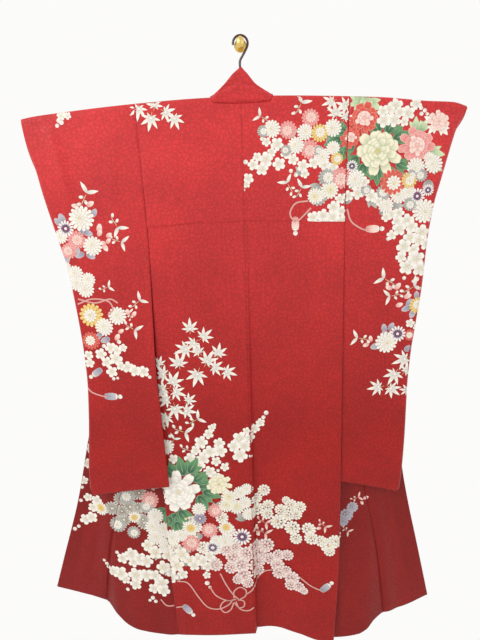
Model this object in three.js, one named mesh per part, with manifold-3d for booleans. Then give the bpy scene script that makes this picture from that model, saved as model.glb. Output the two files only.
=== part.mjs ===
// A furisode, the long-sleeved silk robe, hung with its back to the room on a kimono hanger.
// Millimetres. +X is across the wall, +Y goes into the wall, +Z is up. The origin is on the wall,
// behind the middle of the wall hook's plate. Left and right are the wearer's.

import * as THREE from 'three';
import { mergeVertices, toCreasedNormals } from 'three/addons/utils/BufferGeometryUtils.js';
import Module from 'manifold-3d';

// ---- Driving sizes -------------------------------------------------------------------------

const CLOTH = 2;             // lined silk, two layers
const COLLAR_CLOTH = 3;      // the collar is folded double
const SEAM_GAP = 0.4;        // between the mid lines of two edges that are sewn together

const BAR_RADIUS = 7.5;
const BAR_HALF_LENGTH = 584;
const BAR_Y = -28;           // the bar's axis, off the wall
const BAR_SLACK = 0.5;       // between the bar and the line that the cloth turns round
const BAR_STEP = Math.PI / 4;                   // the cloth turns over the bar in steps
const OVER_BAR = (BAR_RADIUS + CLOTH / 2 + 0.35) / Math.cos(BAR_STEP / 2);
const WIRE_RADIUS = 3.3;

const SHOULDER_Z = -133;     // the shoulder line at the neck
const SHOULDER_HALF_WIDTH = 300;
const NECK_HALF_WIDTH = 90;
const NECK_DEPTH = 8;        // how far the back neckline dips below the bar
const FRONT_TURN_RADIUS = 4; // the fold down each opened front
const COLLAR_WIDTH = 55;
const SLEEVE_WIDTH = 326;
const CUFF_OPENING = 230;

const SIDES = { left: -1, right: 1 };

// ---- Tables --------------------------------------------------------------------------------
// Each is a list of rows with named columns. The first column is the one that is looked up.
// v is the share of the way from the shoulder (0) to the hem (1). Widths are from the centre back.

// How far the bowed shoulder line has dropped, out to the cuffs.
const SHOULDER_DROP = {
  left: table(['x', 'drop'], [
    [0, 0], [150, 4], [300, 12], [400, 19], [500, 28], [590, 37], [625, 43],
  ]),
  right: table(['x', 'drop'], [
    [0, 0], [150, 4], [300, 10.5], [400, 16.5], [460, 23], [515, 29], [590, 34.5], [625, 46],
  ]),
};

// side: side edge. turn: width of front turned in behind the back. seam: front's far edge, at the
// okumi seam or, above it, at the collar. collar: line that the collar is sewn along.
const BODY = {
  left: table(['v', 'side', 'turn', 'seam', 'collar'], [
    [0.000, 300, 210, 91, 91],
    [0.034, 297, 195, 113, 113],
    [0.130, 291, 178, 168, 168],
    [0.170, 288, 170, 200, 203],
    [0.210, 286, 162, 218, 232],
    [0.340, 286, 143, 262, 318],
    [0.511, 286, 112, 322, 432],
    [0.680, 286, 68, 415, 520],
    [0.850, 283, 24, 494, 592],
    [1.000, 270, 3, 535, 662],
  ]),
  right: table(['v', 'side', 'turn', 'seam', 'collar'], [
    [0.000, 300, 210, 91, 91],
    [0.034, 297, 195, 113, 113],
    [0.130, 292, 178, 165, 165],
    [0.170, 290, 171, 193, 196],
    [0.210, 288, 164, 210, 222],
    [0.340, 289, 146, 250, 298],
    [0.511, 288, 118, 302, 402],
    [0.680, 288, 84, 364, 446],
    [0.850, 286, 50, 425, 508],
    [1.000, 272, 37, 458, 566],
  ]),
};

// The front edge of the okumi, below the collar's end.
const FRONT_EDGE = {
  left: table(['v', 'edge'], [[0.5, 478], [0.62, 533], [0.78, 599], [0.917, 671], [1, 715]]),
  right: table(['v', 'edge'], [[0.5, 458], [0.7, 508], [0.77, 532], [0.863, 569], [1, 623]]),
};

// At the hem: x is the distance from the centre back, off the distance from the wall, and length
// the distance below the shoulder line. The hem swings out at the back and lies back at the fronts.
const HEM = {
  left: table(['x', 'off', 'length'], [
    [0, 105, 1754], [150, 103, 1762], [268, 97, 1764], [320, 90, 1768], [409, 80, 1759],
    [450, 68, 1748], [488, 56, 1716], [536, 22, 1683], [620, 16, 1658], [715, 12, 1632],
  ]),
  right: table(['x', 'off', 'length'], [
    [0, 105, 1754], [2, 105, 1754], [6, 92, 1753], [10, 79, 1753], [53, 77, 1751], [160, 92, 1770],
    [230, 112, 1780], [275, 118, 1780], [310, 112, 1778], [388, 90, 1758], [422, 68, 1735],
    [458, 45, 1727], [520, 25, 1724], [623, 10, 1686],
  ]),
};
const FRONT_TOP_OFF = 11;    // how far the fronts hang off the wall below the neck
const BACK_SWING = 1.3;      // how late the back swings out from the wall on its way down
const FRONT_SWING = 3;       // the fronts stay close to the wall for longer

// radius: half the space between back and front. closed: 1 where they are joined at the side.
const SPACE = table(['v', 'radius', 'closed'], [
  [0, OVER_BAR, 0], [0.13, OVER_BAR, 0], [0.21, 6, 1], [1, 6, 1],
]);

// The fold at the side opens out to nothing at the left hem; the right side stays folded.
const SIDE_FOLD = {
  left: table(['v', 'degrees'], [[0, 180], [0.84, 180], [0.93, 100], [1, 12]]),
  right: table(['v', 'degrees'], [[0, 180], [1, 180]]),
};

// The tuck sewn round the waist: the cloth above it stands this far out over the cloth below.
const TUCK_V = 0.1955;
const TUCK_HALF_HEIGHT = 0.0014;
const TUCK_STEP = 2.2;

// t is the share of the sleeve's length. inner and outer: where its visible sides are. inOff and
// outOff: how far they are off the wall. What is wider than that is folded behind the outer side.
const SLEEVE = {
  left: table(['t', 'inner', 'outer', 'inOff', 'outOff'], [
    [0.00, 300, 624, 37.4, 37.4], [0.16, 291.5, 596, 41, 42], [0.29, 290.5, 561, 45, 44],
    [0.38, 291, 537, 49, 46], [0.44, 291.5, 530, 53, 47], [0.52, 292, 521, 59, 49],
    [0.60, 292, 515, 66, 50], [0.67, 290.5, 513, 73, 52], [0.78, 283, 519, 82, 57],
    [0.87, 278, 528, 87, 61], [0.95, 273, 536, 92, 65], [1.00, 270, 538, 95, 66],
  ]),
  right: table(['t', 'inner', 'outer', 'inOff', 'outOff'], [
    [0.00, 300, 622, 37.4, 37.4], [0.08, 297, 597, 38.6, 39], [0.17, 293, 570, 41.5, 42],
    [0.23, 293, 552, 42.5, 44], [0.31, 293.5, 538, 44.5, 46], [0.44, 294, 527, 48, 50],
    [0.52, 294, 516, 51, 52], [0.61, 294, 504, 54, 54], [0.70, 294, 498, 58, 57],
    [0.82, 294, 497, 64, 61], [0.94, 294, 492, 70, 66], [1.00, 293, 486, 73, 68],
  ]),
};
const SLEEVE_LENGTH = { left: 1174, right: 1177 };
const SLEEVE_SLANT = { left: 22, right: 27 };       // longer by this at the outer side
const SLEEVE_CORNER = { left: 42, right: 14 };      // rise of the rounded outer corner
const SLEEVE_SPACE = table(['t', 'inner', 'outer'], [   // between its two layers
  [0, 2 * OVER_BAR, 2 * OVER_BAR], [0.10, 2 * OVER_BAR, 17], [0.20, 2 * OVER_BAR, 13.5],
  [0.32, 9, 9], [1, 9, 9],
]);
const SLEEVE_CURL = 3.5;     // radius of the inner layer where the sleeve folds behind
const SLEEVE_SEAM_ALLOWANCE = 8;
const HEM_CORNER_SHARE = 0.05;   // how far the bottom's corner goes on past the last column

// The collar's top edge above the back neckline, by the distance from the centre at its base.
const COLLAR_BACK = {
  left: table(['x', 'topX', 'topDrop', 'topOff'], [
    [0, 0, -73, 35], [22, 22, -57, 35], [48, 44, -34, 34], [70, 66, -14, 34],
  ]),
  right: table(['x', 'topX', 'topDrop', 'topOff'], [
    [0, 0, -73, 35], [22, 18, -55, 35], [48, 39, -30, 34], [70, 64, -13, 34],
  ]),
};

// ---- Small helpers -------------------------------------------------------------------------

// A smooth look-up: each column is a curve that keeps between its neighbouring rows.
function table(columns, rows) {
  const keys = rows.map((row) => row[0]);
  const slopes = columns.map((_, c) => {
    const steps = rows.slice(1).map((row, i) => (row[c] - rows[i][c]) / (keys[i + 1] - keys[i]));
    return rows.map((_, i) => {
      if (i === 0) return steps[0];
      if (i === rows.length - 1) return steps[i - 1];
      const [before, after] = [steps[i - 1], steps[i]];
      return before * after <= 0 ? 0 : 2 * before * after / (before + after);
    });
  });
  return (key) => {
    const at = THREE.MathUtils.clamp(key, keys[0], keys[keys.length - 1]);
    let i = keys.findIndex((k, n) => n > 0 && at <= k) - 1;
    if (i < 0) i = 0;
    const step = keys[i + 1] - keys[i];
    const s = (at - keys[i]) / step;
    const result = {};
    columns.forEach((name, c) => {
      const [p, q] = [rows[i][c], rows[i + 1][c]];
      const [m, n] = [slopes[c][i] * step, slopes[c][i + 1] * step];
      result[name] = p + s * m + s * s * (3 * (q - p) - 2 * m - n) + s * s * s * (2 * (p - q) + m + n);
    });
    return result;
  };
}

const mix = THREE.MathUtils.lerp;
const shoulderDrop = (side, x) => SHOULDER_DROP[side](Math.abs(x)).drop;

// A point by its distance from the centre back, its distance off the wall and how far it is
// below the shoulder line at the neck.
const place = (side, x, off, drop) => new THREE.Vector3(SIDES[side] * x, -off, SHOULDER_Z - drop);

// Makes one closed solid of the given thickness from grids of points. A grid is a list of rows;
// a missing point is null; grids that share point objects are joined there.
function clothSolid(grids, thickness) {
  const points = [];
  const numberOf = new Map();
  const number = (p) => {
    if (!numberOf.has(p)) numberOf.set(p, points.push(p) - 1);
    return numberOf.get(p);
  };
  const quads = [];
  for (const { rows, flip } of grids) {
    for (let r = 0; r + 1 < rows.length; r++) {
      for (let c = 0; c + 1 < rows[r].length; c++) {
        const corners = [rows[r][c], rows[r + 1][c], rows[r + 1][c + 1], rows[r][c + 1]];
        if (corners.includes(null)) continue;
        quads.push((flip ? corners.reverse() : corners).map(number));
      }
    }
  }
  const normals = points.map(() => new THREE.Vector3());
  const edges = new Map();
  for (const q of quads) {
    const across = new THREE.Vector3().subVectors(points[q[2]], points[q[0]]);
    const down = new THREE.Vector3().subVectors(points[q[3]], points[q[1]]);
    const normal = across.cross(down).normalize();
    q.forEach((a, i) => {
      normals[a].add(normal);
      edges.set(`${a},${q[(i + 1) % 4]}`, [a, q[(i + 1) % 4]]);
    });
  }
  const outer = (a) => a;
  const inner = (a) => a + points.length;
  const triangles = [];
  const quad = (a, b, c, d) => triangles.push(a, b, c, a, c, d);
  for (const [a, b, c, d] of quads) {
    quad(outer(a), outer(b), outer(c), outer(d));
    quad(inner(a), inner(d), inner(c), inner(b));   // split along the same diagonal
  }
  for (const [a, b] of edges.values()) {
    if (!edges.has(`${b},${a}`)) quad(outer(b), outer(a), inner(a), inner(b));
  }
  const half = thickness / 2;
  const shifted = (way) => points.map((p, i) => p.clone().addScaledVector(normals[i].normalize(), way));
  const position = [...shifted(half), ...shifted(-half)].flatMap((p) => [p.x, p.y, p.z]);
  const geometry = new THREE.BufferGeometry();
  geometry.setAttribute('position', new THREE.Float32BufferAttribute(position, 3));
  geometry.setIndex(triangles);
  return toCreasedNormals(geometry, THREE.MathUtils.degToRad(40));
}

// ---- Body: back and front in one length over the shoulder ------------------------------------

const ROW_V = [0.034, 0.075, 0.13, 0.17, TUCK_V - TUCK_HALF_HEIGHT, TUCK_V + TUCK_HALF_HEIGHT,
  0.21, 0.28, 0.36, 0.44, 0.511, 0.60, 0.68, 0.76, 0.84, 0.89, 0.94, 0.975, 1];
const OVER_BAR_ANGLES = [90, 45, 0];   // crest, shoulder, and level with the bar's axis

const hemOf = (side, x) => HEM[side](Math.abs(x));

// How far down a column is that ends at hemX on the hem.
function dropAt(side, x, hemX, v) {
  return v * hemOf(side, hemX).length + shoulderDrop(side, x) * (1 - v) ** 2;
}

// How far off the wall the back hangs.
function backOff(side, x, v) {
  const share = x / BODY[side](v).side;
  const hemOff = hemOf(side, share * BODY[side](1).side).off;
  const tuck = v < TUCK_V ? TUCK_STEP * v / TUCK_V : 0;
  return mix(-BAR_Y + OVER_BAR, hemOff, v ** BACK_SWING) + tuck;
}

// How far off the wall the opened front hangs, beyond the side edge.
const frontOff = (side, x, v) => mix(FRONT_TOP_OFF, hemOf(side, x).off, v ** FRONT_SWING);

// Back columns: shares of the half width, then the turn into the side seam.
const BACK_SHARES = { left: [0, 0.15], right: [0, 0.006, 0.02, 0.036, 0.15] };
const SHOULDER_SHARES = [NECK_HALF_WIDTH / SHOULDER_HALF_WIDTH, 0.53, 0.77];
const SIDE_TURN = [0, 0.5, 1];         // share of the half turn, from the back to the seam

// Front columns: over the part turned in, round the fold, and out to the okumi seam.
const INWARD_SHARES = [0.36, 0.7, 1];
const FRONT_TURN_SHARES = [0.5, 1];
const OUTWARD_SHARES = [0.35, 0.7, 1];
const UNTURNED_COLUMNS = FRONT_TURN_SHARES.length + OUTWARD_SHARES.length;

function backRow(side, v) {
  const { side: width } = BODY[side](v);
  const { radius, closed } = SPACE(v);
  const hemWidth = BODY[side](1).side;
  const point = (share, x, off) => place(side, x, off, dropAt(side, x, share * hemWidth, v));
  const row = [...BACK_SHARES[side], ...SHOULDER_SHARES].map((share) => {
    const x = Math.max(share * width, SEAM_GAP / 2);
    return point(share, x, backOff(side, x, v));
  });
  const fold = THREE.MathUtils.degToRad(SIDE_FOLD[side](v).degrees);
  const start = width - radius;
  const off = backOff(side, width, v);
  for (const share of SIDE_TURN) {
    const angle = share * (fold / 2 - SEAM_GAP / 2 / radius);
    const flatX = width - SEAM_GAP / 2 - radius * (1 - share);
    row.push(point(1, mix(flatX, start + radius * Math.sin(angle), closed),
      off - closed * radius * (1 - Math.cos(angle))));
  }
  return row;
}

// The front from the side seam: turned in behind the back, folded, and out to the okumi seam.
function frontPath(side, v) {
  const { side: width, turn, seam } = BODY[side](v);
  const { radius, closed } = SPACE(v);
  const fold = THREE.MathUtils.degToRad(SIDE_FOLD[side](v).degrees);
  const r = FRONT_TURN_RADIUS;
  const path = [];
  const backOffHere = backOff(side, width, v);
  let [x, off] = [width - radius, backOffHere];
  for (const share of [...SIDE_TURN].reverse()) {
    const angle = fold - share * (fold / 2 - SEAM_GAP / 2 / radius);
    const flatX = width - SEAM_GAP / 2 - radius * (1 - share);
    path.push([mix(flatX, x + radius * Math.sin(angle), closed),
      mix(backOffHere - 2 * radius, backOffHere - radius * (1 - Math.cos(angle)), closed)]);
  }
  [x, off] = path[path.length - 1];
  const inward = Math.max(turn - 2 * radius, 2);
  for (const share of INWARD_SHARES) {
    path.push([x + share * inward * Math.cos(fold), off - share * inward * Math.sin(fold)]);
  }
  [x, off] = path[path.length - 1];
  for (const share of FRONT_TURN_SHARES) {
    const heading = fold * (1 - share);
    path.push([x + r * (Math.sin(fold) - Math.sin(heading)),
      off - r * (Math.cos(heading) - Math.cos(fold))]);
  }
  [x, off] = path[path.length - 1];
  for (const share of OUTWARD_SHARES) {
    const outX = mix(x, seam, share);
    const beyond = THREE.MathUtils.smoothstep(outX, x, Math.max(width, x + 60));
    path.push([outX, mix(off, Math.min(off, frontOff(side, outX, v)), beyond)]);
  }
  return path;
}

function frontRow(side, v) {
  const hemPath = frontPath(side, 1);
  return frontPath(side, v).map(([x, off], i) => place(side, x, off, dropAt(side, x, hemPath[i][0], v)));
}

// The two rows that carry the cloth over the bar, and the crest that back and front share.
function overBar(side, x, angle, way) {
  const a = THREE.MathUtils.degToRad(angle);
  return place(side, x, -BAR_Y + way * OVER_BAR * Math.cos(a),
    shoulderDrop(side, x) + OVER_BAR * (1 - Math.sin(a)));
}

// How far below the shoulder line the back's top edge dips between the shoulders.
const neckline = (x) => OVER_BAR + NECK_DEPTH * Math.max(0, 1 - (x / NECK_HALF_WIDTH) ** 2);

function bodySolid(side) {
  const neckColumn = BACK_SHARES[side].length;
  const topXs = backRow(side, 0).map((p) => Math.abs(p.x));
  const backTop = OVER_BAR_ANGLES.map((angle) => topXs.map((x, c) => {
    if (c >= neckColumn) return overBar(side, x, angle, 1);
    if (angle > 0) return null;
    return place(side, x, -BAR_Y + OVER_BAR, neckline(x) + shoulderDrop(side, x));
  }));
  const crest = backTop[0].slice(neckColumn).reverse();
  const unturned = new Array(UNTURNED_COLUMNS).fill(null);
  const frontTop = OVER_BAR_ANGLES.map((angle, i) => {
    const shoulder = i === 0 ? crest : crest.map((p) => overBar(side, Math.abs(p.x), angle, -1));
    return [...shoulder, ...unturned];
  });
  const back = [...backTop, ...ROW_V.map((v) => backRow(side, v))];
  const front = [...frontTop, ...ROW_V.map((v) => frontRow(side, v))];
  const mirrored = side === 'right';
  return clothSolid([{ rows: back, flip: !mirrored }, { rows: front, flip: !mirrored }], CLOTH);
}

// ---- Okumi: the long gore sewn to the front ---------------------------------------------------

const OKUMI_TOP_V = 0.17;
const OKUMI_BASE = 2;        // the column that the collar is sewn to
const COLLAR_END_V = 0.511;

function okumiRow(side, v) {
  const { seam, collar } = BODY[side](v);
  const hem = BODY[side](1);
  const seamPath = frontPath(side, v);
  const [seamX, seamOff] = seamPath[seamPath.length - 1];
  const edge = FRONT_EDGE[side](v).edge;
  const hemEdge = FRONT_EDGE[side](1).edge;
  const hemXs = [hem.seam, mix(hem.seam, hem.collar, 0.5), hem.collar,
    mix(hem.collar, hemEdge, 0.5), hemEdge];
  const xs = [seamX + SEAM_GAP, mix(seam, collar, 0.5), Math.max(collar, seam + 3),
    mix(collar, edge, 0.5), edge];
  return xs.map((x, i) => {
    const blend = THREE.MathUtils.smoothstep(x, seamX, seamX + 60);
    const off = mix(seamOff, Math.min(seamOff, frontOff(side, x, v)), blend);
    return place(side, x, off, dropAt(side, x, hemXs[i], v));
  });
}

function okumiSolid(side) {
  const rows = ROW_V.filter((v) => v >= OKUMI_TOP_V).map((v) => {
    const row = okumiRow(side, v);
    return v < COLLAR_END_V ? row.fill(null, OKUMI_BASE + 1) : row;
  });
  return clothSolid([{ rows, flip: side === 'right' }], CLOTH);
}

// ---- Sleeves ---------------------------------------------------------------------------------

const SLEEVE_T = [0.02, 0.10, 0.19, 0.215, 0.26, 0.32, 0.38, 0.44, 0.52, 0.60, 0.67, 0.78, 0.88,
  0.95, 0.982, 0.9965];
const SEWN_T = 0.197;        // the sleeve is sewn to the body down to here
const FLAT_SHARES = [0, 0.3, 0.62, 0.9, 1];   // columns across the flat part
const CURL_SHARES = [0.33, 0.67, 1];          // round the fold
const BEHIND_SHARES = [0.5, 1];               // and over what is folded behind

// A line across the sleeve: flat, round the fold at the outer side, and back behind. depth is 0
// in the outermost layer, which faces the room, and 1 in the other.
function sleeveLine(side, t, depth) {
  const { outer, inOff: freeOff, outOff } = SLEEVE[side](t);
  const v = t * SLEEVE_LENGTH[side] / hemOf(side, SHOULDER_HALF_WIDTH).length;
  const armhole = BODY[side](v).side;
  const sewn = t <= SEWN_T;
  const inner = Math.max(SLEEVE[side](t).inner, t < 0.3 ? armhole + SEAM_GAP / 2 : 0);
  const inOff = sewn ? backOff(side, armhole, v) : freeOff;
  const space = SLEEVE_SPACE(t);
  const radius = space.outer + SLEEVE_CURL;
  const inset = depth * space.outer;
  const visible = outer - inner;
  const slack = Math.max(SLEEVE_WIDTH - visible, 2);
  const curl = Math.PI * Math.min(1, slack / (radius * (Math.PI - 1)));
  const flat = visible - radius * Math.sin(Math.min(curl, Math.PI / 2));
  const behind = Math.max(SLEEVE_WIDTH - flat - radius * curl, 2);
  const line = FLAT_SHARES.map((share) => {
    const x = inner + share * flat;
    const off = mix(inOff, outOff, (x - inner) / visible);
    return [x, off - depth * mix(space.inner, space.outer, share), share * flat];
  });
  const [cx, top] = line[line.length - 1];
  for (const share of CURL_SHARES) {
    const a = curl * share;
    line.push([cx + (radius - inset) * Math.sin(a),
      top + inset - radius + (radius - inset) * Math.cos(a), flat + radius * a]);
  }
  const [ex, eOff, reach] = line[line.length - 1];
  for (const share of BEHIND_SHARES) {
    line.push([ex + share * behind * Math.cos(curl), eOff - share * behind * Math.sin(curl),
      reach + share * behind]);
  }
  return line;
}

// Below the bottom corner's curve the sleeve is shorter; the slant makes it longer outwards.
function sleeveColumnLength(side, reach, flat) {
  const along = Math.min(reach / flat, 1);
  const past = Math.max(0, reach - flat) / (SLEEVE_WIDTH - flat);
  return SLEEVE_LENGTH[side] + SLEEVE_SLANT[side] * along - SLEEVE_CORNER[side] * Math.sqrt(past);
}

function sleeveRow(side, t, depth) {
  const bottom = sleeveLine(side, 1, depth);
  const flat = bottom[FLAT_SHARES.length - 1][2];
  return sleeveLine(side, t, depth).map(([x, off], i) => {
    const drop = shoulderDrop(side, x) + t * sleeveColumnLength(side, bottom[i][2], flat);
    return place(side, x, off, drop);
  });
}

function between(p, q) {
  return new THREE.Vector3().addVectors(p, q).multiplyScalar(0.5);
}

function sleeveSolid(side) {
  const topXs = sleeveRow(side, 0, 0).map((p) => Math.abs(p.x));
  const backTop = OVER_BAR_ANGLES.map((angle) => topXs.map((x) => overBar(side, x, angle, 1)));
  const frontTop = OVER_BAR_ANGLES.map((angle, i) => (
    i === 0 ? backTop[0] : topXs.map((x) => overBar(side, x, angle, -1))));
  const closedFrom = (CUFF_OPENING + SLEEVE_SEAM_ALLOWANCE) / SLEEVE_LENGTH[side];
  const back = [...backTop];
  const front = [...frontTop];
  for (const t of SLEEVE_T) {
    const outerRow = sleeveRow(side, t, 0);
    const innerRow = sleeveRow(side, t, 1);
    if (t > closedFrom) {
      const seam = between(outerRow[outerRow.length - 1], innerRow[innerRow.length - 1]);
      outerRow.push(seam);
      innerRow.push(seam);
    } else {
      outerRow.push(null);
      innerRow.push(null);
    }
    back.push(outerRow);
    front.push(innerRow);
  }
  backTop.forEach((row) => row.push(null));
  frontTop.forEach((row, i) => i > 0 && row.push(null));
  const hem = sleeveRow(side, 1, 0.5);
  hem.push(hem[hem.length - 1].clone().lerp(hem[hem.length - 2], -HEM_CORNER_SHARE));
  back.push(hem);
  front.push(hem);
  const mirrored = side === 'right';
  return clothSolid([{ rows: back, flip: !mirrored }, { rows: front, flip: mirrored }], CLOTH);
}

// ---- Collar ----------------------------------------------------------------------------------

// Below the neck the collar lies flat beside the front's edge; its base is sewn to that edge.
function collarFrontRow(side, v, width) {
  const edgeRow = v >= OKUMI_TOP_V ? okumiRow(side, v) : frontRow(side, v);
  const base = edgeRow[v >= OKUMI_TOP_V ? OKUMI_BASE : edgeRow.length - 1];
  const baseX = Math.abs(base.x) + SEAM_GAP;
  return COLLAR_SHARES.map((share) => {
    const x = baseX + share * width;
    const off = mix(-base.y, Math.min(-base.y, frontOff(side, x, v)), share);
    const drop = mix(SHOULDER_Z - base.z, dropAt(side, x, FRONT_EDGE[side](1).edge, v), share);
    return place(side, x, off, drop);
  });
}

// Standing round the back of the neck: from the neckline, clear of the bar, to the pulled-up top.
const COLLAR_BASE_RISE = 1;  // the collar's base over the neckline it is sewn to
const COLLAR_BASE_OFF = -BAR_Y + OVER_BAR + 0.6;
const COLLAR_BULGE = 3;      // how far the collar stands out between its base and its top

function collarBackRow(side, x) {
  const { topX, topDrop, topOff } = COLLAR_BACK[side](x);
  const foot = -COLLAR_BASE_RISE;
  const bulge = COLLAR_BASE_OFF + COLLAR_BULGE;
  return [
    place(side, x, COLLAR_BASE_OFF, neckline(x) + foot + shoulderDrop(side, x)),
    place(side, mix(x, topX, 0.1), mix(COLLAR_BASE_OFF, bulge, 0.4), mix(foot, topDrop, 0.1)),
    place(side, mix(x, topX, 0.5), mix(bulge, topOff, 0.4), mix(foot, topDrop, 0.5)),
    place(side, topX, topOff, topDrop),
  ];
}

const COLLAR_SHARES = [0, 0.3, 0.65, 1];
const OVER_COLLAR_END_V = 0.21;
const COLLAR_SEAM_V = 0.0005;    // the gap at the seams at its two ends

// Over the shoulder and down the wall side, from the base to the edge: at each station the
// distance from the centre, and how far each point is off the wall and below the shoulder line.
const COLLAR_TURN = [
  { x: [76, 76, 76, 76], off: [38.4, 39, 36, 31], drop: [10.8, 2, -4, -7] },
  { x: [81, 81, 81, 82], off: [37.2, 37.2, 32, 25], drop: [5.2, 0, -4, -5] },
  { x: [85, 85, 86, 88], off: [33.4, 31, 25, 19], drop: [1.0, -3, -3, -1] },
  { x: [86.8, 87, 88, 91], off: [28, 24, 18, 13], drop: [-0.4, -1.5, 0, 2.5] },
  { x: [87.2, 88.6, 92, 97], off: [16.4, 14.5, 12, 9.5], drop: [9, 6, 5, 6] },
  { x: [93, 98, 105, 113], off: [13.6, 12, 10.5, 9], drop: [30, 27, 25, 25] },
];

const COLLAR_BACK_XS = [10, 22, 35, 48, 60, 70];

// Below the shoulder the half-folded collar soon opens to its full width.
const COLLAR_FRONT = table(['v', 'width'], [
  [0.034, 28], [0.075, 44], [0.13, COLLAR_WIDTH], [0.21, COLLAR_WIDTH],
]);

function overCollarSolid() {
  const half = (side) => {
    const back = COLLAR_BACK_XS.map((x) => collarBackRow(side, x));
    const turn = COLLAR_TURN.map(({ x, off, drop }) => x.map((value, i) => (
      place(side, value, off[i], drop[i] + shoulderDrop(side, value)))));
    const front = [0.034, 0.075, 0.13, 0.17, TUCK_V, OVER_COLLAR_END_V]
      .map((v) => collarFrontRow(side, v, COLLAR_FRONT(v).width));
    return [...back, ...turn, ...front];
  };
  const rows = [...half('left').reverse(), collarBackRow('left', 0), ...half('right')];
  return clothSolid([{ rows, flip: true }], COLLAR_CLOTH);
}

function collarSolid(side) {
  const rows = [OVER_COLLAR_END_V + COLLAR_SEAM_V, 0.28, 0.36, 0.44, COLLAR_END_V - COLLAR_SEAM_V]
    .map((v) => collarFrontRow(side, v, COLLAR_WIDTH));
  return clothSolid([{ rows, flip: side === 'right' }], COLLAR_CLOTH);
}

// ---- Hanger and wall hook --------------------------------------------------------------------

class PathOf extends THREE.Curve {
  constructor(pointAt) {
    super();
    this.pointAt = pointAt;
  }

  getPoint(t, target = new THREE.Vector3()) {
    return target.copy(this.pointAt(t));
  }
}

function circle(radius, sides) {
  const corners = Array.from({ length: sides }, (_, i) => {
    const a = 2 * Math.PI * i / sides;
    return new THREE.Vector2(radius * Math.cos(a), radius * Math.sin(a));
  });
  return new THREE.Shape(corners);
}

function rod(path, radius, sides, steps) {
  return new THREE.ExtrudeGeometry(circle(radius, sides), { extrudePath: path, steps });
}

// A bowed bar that the shoulders and sleeves hang over.
function barSolid() {
  const path = new PathOf((t) => {
    const x = mix(-BAR_HALF_LENGTH, BAR_HALF_LENGTH, t);
    const side = x < 0 ? 'left' : 'right';
    return new THREE.Vector3(x, BAR_Y, SHOULDER_Z - OVER_BAR - BAR_SLACK - shoulderDrop(side, x));
  });
  return rod(path, BAR_RADIUS, 10, 22);
}

const HOOK_SEAT_Z = 17.2;    // top of the wall hook's arm, where the hanger's wire rests
const HOOK_INNER_RADIUS = 17;
const ROD_GAP = 0.3;         // between the wire and what it touches

// The wire leaves the bar, passes behind the collar and bends over the wall hook.
function wireSolid() {
  const top = HOOK_SEAT_Z + ROD_GAP + WIRE_RADIUS;
  const r = HOOK_INNER_RADIUS + WIRE_RADIUS;
  const bend = [-15, 20, 55, 90, 125, 160, 190].map((degrees) => {
    const a = THREE.MathUtils.degToRad(degrees);
    return new THREE.Vector3(r * Math.cos(a), BAR_Y, top - r + r * Math.sin(a));
  });
  const stem = [
    new THREE.Vector3(0, BAR_Y, SHOULDER_Z - OVER_BAR - BAR_SLACK + BAR_RADIUS + ROD_GAP),
    new THREE.Vector3(0, BAR_Y, -80),
    new THREE.Vector3(-2, BAR_Y, -44),
    new THREE.Vector3(6, BAR_Y, -30),
  ];
  return rod(new THREE.CatmullRomCurve3([...stem, ...bend]), WIRE_RADIUS, 8, 34);
}

const PLATE = { radius: 17, thickness: 4 };
const ARM_RADIUS = 4.4;
const KNOB = { width: 22, depth: 17, height: 31, y: -43 };

function toManifold(wasm, geometry) {
  const bare = geometry.clone();
  bare.deleteAttribute('normal');
  bare.deleteAttribute('uv');
  const merged = mergeVertices(bare, 1e-4);
  return new wasm.Manifold(new wasm.Mesh({
    numProp: 3,
    vertProperties: new Float32Array(merged.attributes.position.array),
    triVerts: new Uint32Array(merged.index.array),
  }));
}

// A brass wall hook: round plate, arched arm and an upright oval knob.
async function wallHookSolid() {
  const wasm = await Module();
  wasm.setup();
  const plate = new THREE.CylinderGeometry(PLATE.radius, PLATE.radius, PLATE.thickness, 28)
    .translate(0, -PLATE.thickness / 2, 0);
  const arm = rod(new THREE.CatmullRomCurve3([
    new THREE.Vector3(0, -PLATE.thickness / 2, 0),
    new THREE.Vector3(0, -12, 6),
    new THREE.Vector3(0, BAR_Y, HOOK_SEAT_Z - ARM_RADIUS),
    new THREE.Vector3(0, KNOB.y + 4, 7),
    new THREE.Vector3(0, KNOB.y, 0),
  ]), ARM_RADIUS, 12, 16);
  const knob = new THREE.SphereGeometry(1, 18, 12)
    .scale(KNOB.width / 2, KNOB.depth / 2, KNOB.height / 2)
    .translate(0, KNOB.y, 0);
  const joined = [plate, arm, knob].map((g) => toManifold(wasm, g)).reduce((a, b) => a.add(b));
  const mesh = joined.getMesh();
  const geometry = new THREE.BufferGeometry();
  geometry.setAttribute('position', new THREE.BufferAttribute(mesh.vertProperties, 3));
  geometry.setIndex(new THREE.BufferAttribute(mesh.triVerts, 1));
  return toCreasedNormals(geometry, THREE.MathUtils.degToRad(35));
}

// ---- Materials and assembly --------------------------------------------------------------------

const MATERIALS = {
  silk: { color: 0xc23a3c, roughness: 0.62, metalness: 0 },
  lacquer: { color: 0x3d2224, roughness: 0.35, metalness: 0 },
  enamel: { color: 0x33211f, roughness: 0.4, metalness: 0.2 },
  brass: { color: 0xc9a24f, roughness: 0.3, metalness: 1 },
};

const furisode = new THREE.Group();

function add(name, geometry, material) {
  const mesh = new THREE.Mesh(geometry, new THREE.MeshStandardMaterial(MATERIALS[material]));
  mesh.name = name;
  furisode.add(mesh);
}

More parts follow.
